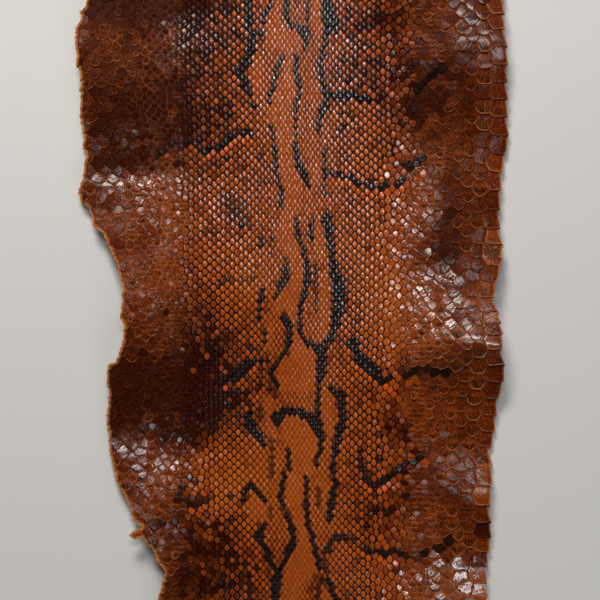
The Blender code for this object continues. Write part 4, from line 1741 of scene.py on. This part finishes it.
class Graph:
    """Builds one material's nodes."""

    def __init__(self, name: str) -> None:
        """Start a material with nothing but its output."""
        self.material = bpy.data.materials.new(name)
        self.material.use_nodes = True
        self.tree = self.material.node_tree
        self.tree.nodes.clear()

    def node(self, kind: str, settings: dict[str, Any], sockets: dict[Any, Any]) -> Any:
        """Add a node.

        Args:
            kind: the node's type.
            settings: its properties, set first.
            sockets: values or links for its inputs, by name or number.

        Returns:
            The node.
        """
        made = self.tree.nodes.new(kind)
        for key, value in settings.items():
            setattr(made, key, value)
        for key, value in sockets.items():
            if isinstance(value, Value):
                self.tree.links.new(value.socket, made.inputs[key])
            else:
                made.inputs[key].default_value = value
        return made

    def math(self, operation: str, *values: Any, clamp: bool = False) -> Value:
        """A Math node."""
        settings = {"operation": operation, "use_clamp": clamp}
        made = self.node("ShaderNodeMath", settings, dict(enumerate(values)))
        return Value(self, made.outputs[0])

    def mix(self, share: Any, first: Union[Value, Colour], second: Union[Value, Colour]) -> Value:
        """Mix two colours."""
        first, second = (part if isinstance(part, Value) else srgb(part) for part in (first, second))
        settings = {"data_type": "RGBA", "clamp_factor": True}
        made = self.node("ShaderNodeMix", settings, {0: share, 6: first, 7: second})
        return Value(self, made.outputs[2])

    def fact(self, name: str) -> Value:
        """A value that the mesh carries."""
        made = self.node("ShaderNodeAttribute", {"attribute_type": "GEOMETRY", "attribute_name": name}, {})
        return Value(self, made.outputs["Fac"])

    def place(self, stretch: tuple[float, float, float] = (1.0, 1.0, 1.0)) -> Value:
        """The place on the object, stretched along its axes."""
        coordinates = self.node("ShaderNodeTexCoord", {}, {})
        where = Value(self, coordinates.outputs["Object"])
        made = self.node("ShaderNodeMapping", {}, {"Vector": where, "Scale": stretch})
        return Value(self, made.outputs[0])

    def noise(self, where: Value, size_mm: float, detail: float, roughness: float = 0.5) -> Value:
        """Noise from about 0 to 1 whose lumps are size_mm across."""
        sockets = {"Vector": where, "Scale": 1.0 / (size_mm * MM), "Detail": detail, "Roughness": roughness}
        made = self.node("ShaderNodeTexNoise", {"noise_dimensions": "3D"}, sockets)
        return Value(self, made.outputs[0])

    def bump(self, height: Value, distance_mm: float, strength: float = 1.0, under: Any = None) -> Value:
        """A Bump node."""
        sockets: dict[Any, Any] = {"Height": height, "Distance": distance_mm * MM, "Strength": strength}
        if under is not None:
            sockets["Normal"] = under
        made = self.node("ShaderNodeBump", {}, sockets)
        return Value(self, made.outputs[0])

    def finish(self, sockets: dict[str, Any]) -> bpy.types.Material:
        """Close the material with a Principled shader."""
        shader = self.node("ShaderNodeBsdfPrincipled", {}, sockets)
        self.node("ShaderNodeOutputMaterial", {}, {"Surface": Value(self, shader.outputs[0])})
        return self.material


@dataclass(frozen=True)
class ScaleFinish:
    """Dyed and varnished scales, with painted shade and sheen in part of their colour. Colours are what the
    eye sees, from 0 to 255.
    """

    back: Colour = (159, 67, 11)
    light: Colour = (153, 69, 15)
    ember: Colour = (180, 73, 12)
    golden: Colour = (172, 87, 20)
    flank: Colour = (86, 28, 5)
    # Dark dye, also used for painted shade.
    deep_and_shade: Colour = (48, 11, 3)
    core: Colour = (34, 11, 6)
    net: Colour = (20, 9, 7)
    net_light: Colour = (132, 54, 12)
    net_flank: Colour = (132, 70, 42)
    dark: Colour = (12, 7, 6)
    net_dark: Colour = (26, 20, 20)
    rim: Colour = (196, 112, 68)
    torn: Colour = (186, 120, 62)
    coat_roughness: float = 0.19
    ior: float = 1.45
    specular: float = 0.02

    def material(self) -> bpy.types.Material:
        """Build the material."""
        g = Graph("varnished_scales")
        body, rim, inner, edge, dark, light, ember = map(g.fact, FACTS[:7])
        tone_and_painted_light, gloss, tint, flank, scute, lengthways = map(g.fact, FACTS[7:])
        where = g.place()
        broad = g.noise(where, 46.0, 3.0, 0.55)
        middling = g.noise(where, 9.0, 3.0, 0.6)
        small = g.noise(where, 3.4, 3.0, 0.6)
        fine = g.noise(where, 1.6, 3.0, 0.6)
        grain = g.noise(where, 0.45, 2.0, 0.6)
        strands = g.noise(g.place((1.0, 0.14, 1.0)), 0.9, 3.0, 0.6)

        face = g.mix(light, self.back, self.light)
        face = g.mix(flank * (1.0 - light), face, self.flank)
        rough = flank.above(0.02, 0.4)
        chance = tint * (0.24 - 0.04 * rough)
        # The broad blotches shift the colour: up towards golden, partly painted sheen, and down towards deep,
        # partly painted shade on the folds; the rest is uneven dye.
        golden_and_sheen = (tone_and_painted_light + (broad - 0.5) * 1.2 + chance).clamp()
        face = g.mix(golden_and_sheen * 0.75, face, self.golden)
        deepening_and_shade = ((broad - 0.5) * -1.6 - tone_and_painted_light - chance * 1.2 + 0.08).clamp()
        face = g.mix(deepening_and_shade * (1.0 - light * 0.75), face, self.deep_and_shade)
        low = (0.45 - lengthways + 1.6 * (small - 0.5)).above(0.0, 0.7)
        core = inner.above(0.03, 0.24) * low * rough * (2.4 * (middling - 0.24) + tint * 0.25).clamp()
        face = g.mix(core * (1.0 - scute * 0.6), face, self.core)
        face = g.mix(ember * (1.0 - 0.45 * flank - 0.4 * rough), face, self.ember)
        # Painted shade: the head end of each flank scale is darkened where the free edge of the scale above
        # overlaps it.
        shade = lengthways.above(0.25, 0.85) * rough * (1.0 - 0.5 * scute)
        face = g.mix(shade * 0.8, face, self.deep_and_shade)
        # Share left clear of that darkening, painted shade included; it dims the golden flecks and the rim.
        clear_of_deepening_and_shade = 1.0 - 0.85 * deepening_and_shade
        face = g.mix((small - 0.5).clamp() * 2.0 * (0.4 + flank), face, self.deep_and_shade)
        face = g.mix((fine - 0.52).clamp() * 2.0 * clear_of_deepening_and_shade, face, self.golden)
        face = g.mix((strands - 0.5).clamp() * 1.6 * (flank + 0.1) * clear_of_deepening_and_shade, face, self.golden)

        net = g.mix(flank.above(0.3, 0.6), self.net, self.net_flank)
        # The net darkens under the darkening blotches, partly painted shade, and lightens in the pale stripe
        # and under the brightening ones, partly painted sheen.
        net = g.mix(deepening_and_shade * 0.65, net, self.net)
        net = g.mix((light + tone_and_painted_light.clamp() * 0.6).clamp(), net, self.net_light)
        colour = g.mix(body, net, face)
        tailward = (-0.1 - lengthways).above(0.0, 0.5)
        rim_share = rim * rough * tailward * (0.2 + 1.1 * fine) * (0.85 + 0.25 * tint).clamp() * clear_of_deepening_and_shade
        colour = g.mix(rim_share, colour, self.rim)
        stain = g.mix(body, self.net_dark, self.dark)
        colour = g.mix(dark * 0.97, colour, stain)
        torn = edge.above(0.15 + 0.3 * scute, 0.95) * (0.25 + 1.1 * fine) * (1.0 - 0.5 * scute)
        colour = g.mix(torn.clamp() * 0.9, colour, self.torn)

        wear = (0.22 + 0.16 * middling + 0.12 * fine + 0.3 * (1.0 - body) + 0.12 * edge - 0.1 * gloss).clamp()
        varnish = (0.2 * broad.above(0.35, 0.65) + 0.14 + gloss) * (0.3 + 0.65 * body + 0.35 * gloss)
        varnish = (varnish + 0.3 * rim * tailward - 0.5 * edge).clamp()
        bump = g.bump(grain, 0.04, 0.5)
        bump = g.bump(fine, 0.12, 0.6, bump)
        bump = g.bump(strands, 0.09, 0.6, bump)
        return g.finish({
            "Base Color": colour,
            "Roughness": wear,
            "Metallic": 0.0,
            "IOR": self.ior,
            "Specular IOR Level": self.specular,
            "Coat Weight": varnish,
            "Coat Roughness": self.coat_roughness,
            "Normal": bump,
        })


@dataclass(frozen=True)
class FleshFinish:
    """Tanned suede of the inner side and the cut edge."""

    suede: Colour = (176, 138, 98)
    stained: Colour = (132, 93, 60)
    edge: Colour = (150, 88, 46)

    def material(self) -> bpy.types.Material:
        """Build the material."""
        g = Graph("tanned_flesh_side")
        where = g.place()
        edge = g.fact("edge")
        broad = g.noise(where, 38.0, 4.0, 0.6)
        middling = g.noise(where, 5.0, 4.0, 0.65)
        nap = g.noise(where, 0.6, 3.0, 0.65)
        colour = g.mix(broad.above(0.35, 0.7), self.suede, self.stained)
        colour = g.mix(middling.above(0.45, 0.75) * 0.5, colour, self.stained)
        colour = g.mix(edge * (0.55 + 0.6 * nap), colour, self.edge)
        bump = g.bump(nap, 0.25, 0.7)
        bump = g.bump(middling, 0.5, 0.6, bump)
        return g.finish({
            "Base Color": colour,
            "Roughness": (0.78 + 0.2 * nap).clamp(),
            "Metallic": 0.0,
            "Normal": bump,
        })


@dataclass(frozen=True)
class FibreFinish:
    """Bare tanned fibres."""

    pale: Colour = (196, 142, 84)
    brown: Colour = (128, 74, 36)

    def material(self) -> bpy.types.Material:
        """Build the material."""
        g = Graph("torn_fibre")
        patches = g.noise(g.place(), 6.0, 2.0)
        colour = g.mix(patches.above(0.4, 0.65), self.pale, self.brown)
        return g.finish({"Base Color": colour, "Roughness": 0.75, "Metallic": 0.0})


@dataclass(frozen=True)
class FloorFinish:
    """Plain pale floor."""

    colour: Colour = (200, 198, 195)

    def material(self) -> bpy.types.Material:
        """Build the material."""
        g = Graph("pale_floor")
        faint = g.noise(g.place(), 3.0, 2.0)
        return g.finish({
            "Base Color": srgb(self.colour),
            "Roughness": (0.7 + 0.1 * faint).clamp(),
            "Metallic": 0.0,
        })


# The whole skin


class Portion(Enum):
    """The parts that the upper side is shared out into, so that no mesh is too large."""

    HEAD_BACK = "back_scales_head_half"
    TAIL_BACK = "back_scales_tail_half"
    HEAD_LEFT = "left_flank_scales_head_half"
    TAIL_LEFT = "left_flank_scales_tail_half"
    HEAD_RIGHT = "right_flank_scales_head_half"
    TAIL_RIGHT = "right_flank_scales_tail_half"
    SCUTES = "belly_scutes"


@dataclass
class PythonSkin:
    """The skin, from its places on the photograph to its finished pieces."""

    outline: Outline = field(default_factory=Outline)
    lie: Lie = field(default_factory=Lie)
    layout: Layout = field(default_factory=Layout)
    markings: Markings = field(default_factory=Markings)

    def portions(self, side: ScaledSide) -> Array:
        """The portion that each cell belongs to, as a number."""
        tailward = side.cells.sites[:, 1] < 0.0
        left = side.cells.sites[:, 0] < SPINE_X
        back = side.cells.are(Kind.BACK)
        found = np.zeros(len(back), int)
        for chosen, head, tail in (
            (~left, Portion.HEAD_RIGHT, Portion.TAIL_RIGHT),
            (left, Portion.HEAD_LEFT, Portion.TAIL_LEFT),
            (back, Portion.HEAD_BACK, Portion.TAIL_BACK),
            (side.cells.are(Kind.SCUTE), Portion.SCUTES, Portion.SCUTES),
        ):
            found[chosen & ~tailward] = list(Portion).index(head)
            found[chosen & tailward] = list(Portion).index(tail)
        return found

    def build(self) -> list[Any]:
        """Make every piece and dress it."""
        side = ScaledSide(self.outline, self.lie, self.layout, self.markings)
        sheet = side.build()
        log.info("welded sheet: %d points", len(sheet.points))
        portion = self.portions(side)
        facts = {name: sheet.facts[:, i] for i, name in enumerate(FACTS)}
        scales = ScaleFinish().material()
        pieces = []
        for number, name in enumerate(Portion):
            quads = sheet.quads[portion[sheet.quad_cells] == number]
            triangles = sheet.triangles[portion[sheet.triangle_cells] == number]
            faces = [group for group in (quads, triangles) if len(group)]
            piece = make_piece(name.value, sheet.points, faces, facts)
            piece.data.materials.append(scales)
            log.info("%s: %d triangles", name.value, 2 * len(quads) + len(triangles))
            pieces.append(piece)
        flesh = FleshSide(self.lie).build(sheet)
        flesh.data.materials.append(FleshFinish().material())
        fibres = Fringe(self.lie).build(side.border)
        fibres.data.materials.append(FibreFinish().material())
        pieces += [flesh, fibres]
        for piece in pieces:
            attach(piece, BODY)
            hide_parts(NODE)
        return pieces


@dataclass(frozen=True)
class Studio:
    """Camera, floor and soft light. Lengths are in metres."""

    lens: float = 85.0
    sensor: float = 36.0
    seen_mm: float = PHOTO_SIDE * PIXEL
    surface: float = 0.006
    floor_gap: float = 0.0003
    flat_radius: float = 3.4
    sweep_radius: float = 1.8
    wall_top: float = 4.5

    def camera(self) -> None:
        """Look straight down, with the head end at the top of the picture."""
        data = bpy.data.cameras.new("camera")
        data.lens = self.lens
        data.sensor_width = self.sensor
        data.clip_start = 0.01
        made = bpy.data.objects.new("camera", data)
        middle = (PHOTO_SIDE / 2.0 - ORIGIN_PIXEL[0]) * PIXEL * MM
        height = self.surface + self.seen_mm * MM * self.lens / self.sensor
        made.location = (middle, 0.0, height)
        bpy.context.scene.collection.objects.link(made)
        bpy.context.scene.camera = made

    def floor(self) -> None:
        """A plain pale floor, a hair below what the skin rests on, that sweeps up far away."""
        turn = np.linspace(0.0, math.pi / 2.0, 13)
        radii = [0.6, 1.6, *(self.flat_radius + self.sweep_radius * np.sin(turn))]
        heights = [0.0, 0.0, *(self.sweep_radius * (1.0 - np.cos(turn)))]
        radii.append(radii[-1])
        heights.append(self.wall_top)
        around = 96
        angle = np.arange(around) * math.tau / around
        rings = [
            np.column_stack([radius * np.cos(angle), radius * np.sin(angle), np.full(around, height)])
            for radius, height in zip(radii, heights)
        ]
        points = np.concatenate([*rings, np.zeros((1, 3))])
        points[:, 2] -= self.floor_gap
        here, onward = np.arange(around), (np.arange(around) + 1) % around
        faces = [(i, j, len(points) - 1) for i, j in zip(here.tolist(), onward.tolist())]
        for ring in range(len(rings) - 1):
            low, high = ring * around, (ring + 1) * around
            faces += np.stack([low + here, high + here, high + onward, low + onward], axis=1).tolist()
        mesh = bpy.data.meshes.new("floor")
        mesh.from_pydata(points.tolist(), [], faces)
        mesh.shade_smooth()
        floor = bpy.data.objects.new("floor", mesh)
        floor.data.materials.append(FloorFinish().material())
        bpy.context.scene.collection.objects.link(floor)

    def area_light(
        self, name: str, azimuth: float, slant: float, away: float, size: Place, power: float,
        colour: tuple[float, float, float],
    ) -> None:
        """Add one soft lamp that faces the skin.

        Args:
            name: the lamp's name.
            azimuth: degrees round from the head end, positive to the right.
            slant: degrees away from straight up.
            away: distance from the skin's middle.
            size: width and height of the lamp's face.
            power: watts.
            colour: its colour.
        """
        data = bpy.data.lights.new(name, "AREA")
        data.shape = "RECTANGLE"
        data.size, data.size_y = size
        data.energy = power
        data.color = colour
        made = bpy.data.objects.new(name, data)
        turn, tilt = math.radians(azimuth), math.radians(slant)
        way = Vector((math.sin(turn) * math.sin(tilt), math.cos(turn) * math.sin(tilt), math.cos(tilt)))
        made.location = way * away
        made.rotation_euler = way.to_track_quat("Z", "Y").to_euler()
        bpy.context.scene.collection.objects.link(made)

    def light(self) -> None:
        """A high key lamp from beyond the head end, a sheen lamp over it and a weak surround."""
        self.area_light("key", -14.0, 50.0, 1.9, (0.6, 0.45), 33.0, (1.0, 0.96, 0.9))
        self.area_light("sheen", 4.0, 23.0, 2.2, (0.8, 0.16), 14.5, (0.92, 0.95, 1.0))
        self.area_light("fill", 165.0, 68.0, 2.2, (1.6, 0.6), 16.0, (0.95, 0.97, 1.0))
        world = bpy.data.worlds.new("surround")
        world.use_nodes = True
        background = world.node_tree.nodes["Background"]
        background.inputs["Color"].default_value = (0.95, 0.97, 1.0, 1.0)
        background.inputs["Strength"].default_value = 0.05
        bpy.context.scene.world = world

    def build(self) -> None:
        """Set everything up."""
        self.camera()
        self.floor()
        self.light()
        bpy.context.scene.view_settings.view_transform = "Standard"


def main() -> None:
    """Build the skin and the studio, and log each piece's faces."""
    logging.basicConfig(level=logging.INFO, format="%(message)s")
    Studio().build()
    for piece in PythonSkin().build():
        log.info("%s: %d faces", piece.name, len(piece.data.polygons))


if __name__ == "__main__":
    main()
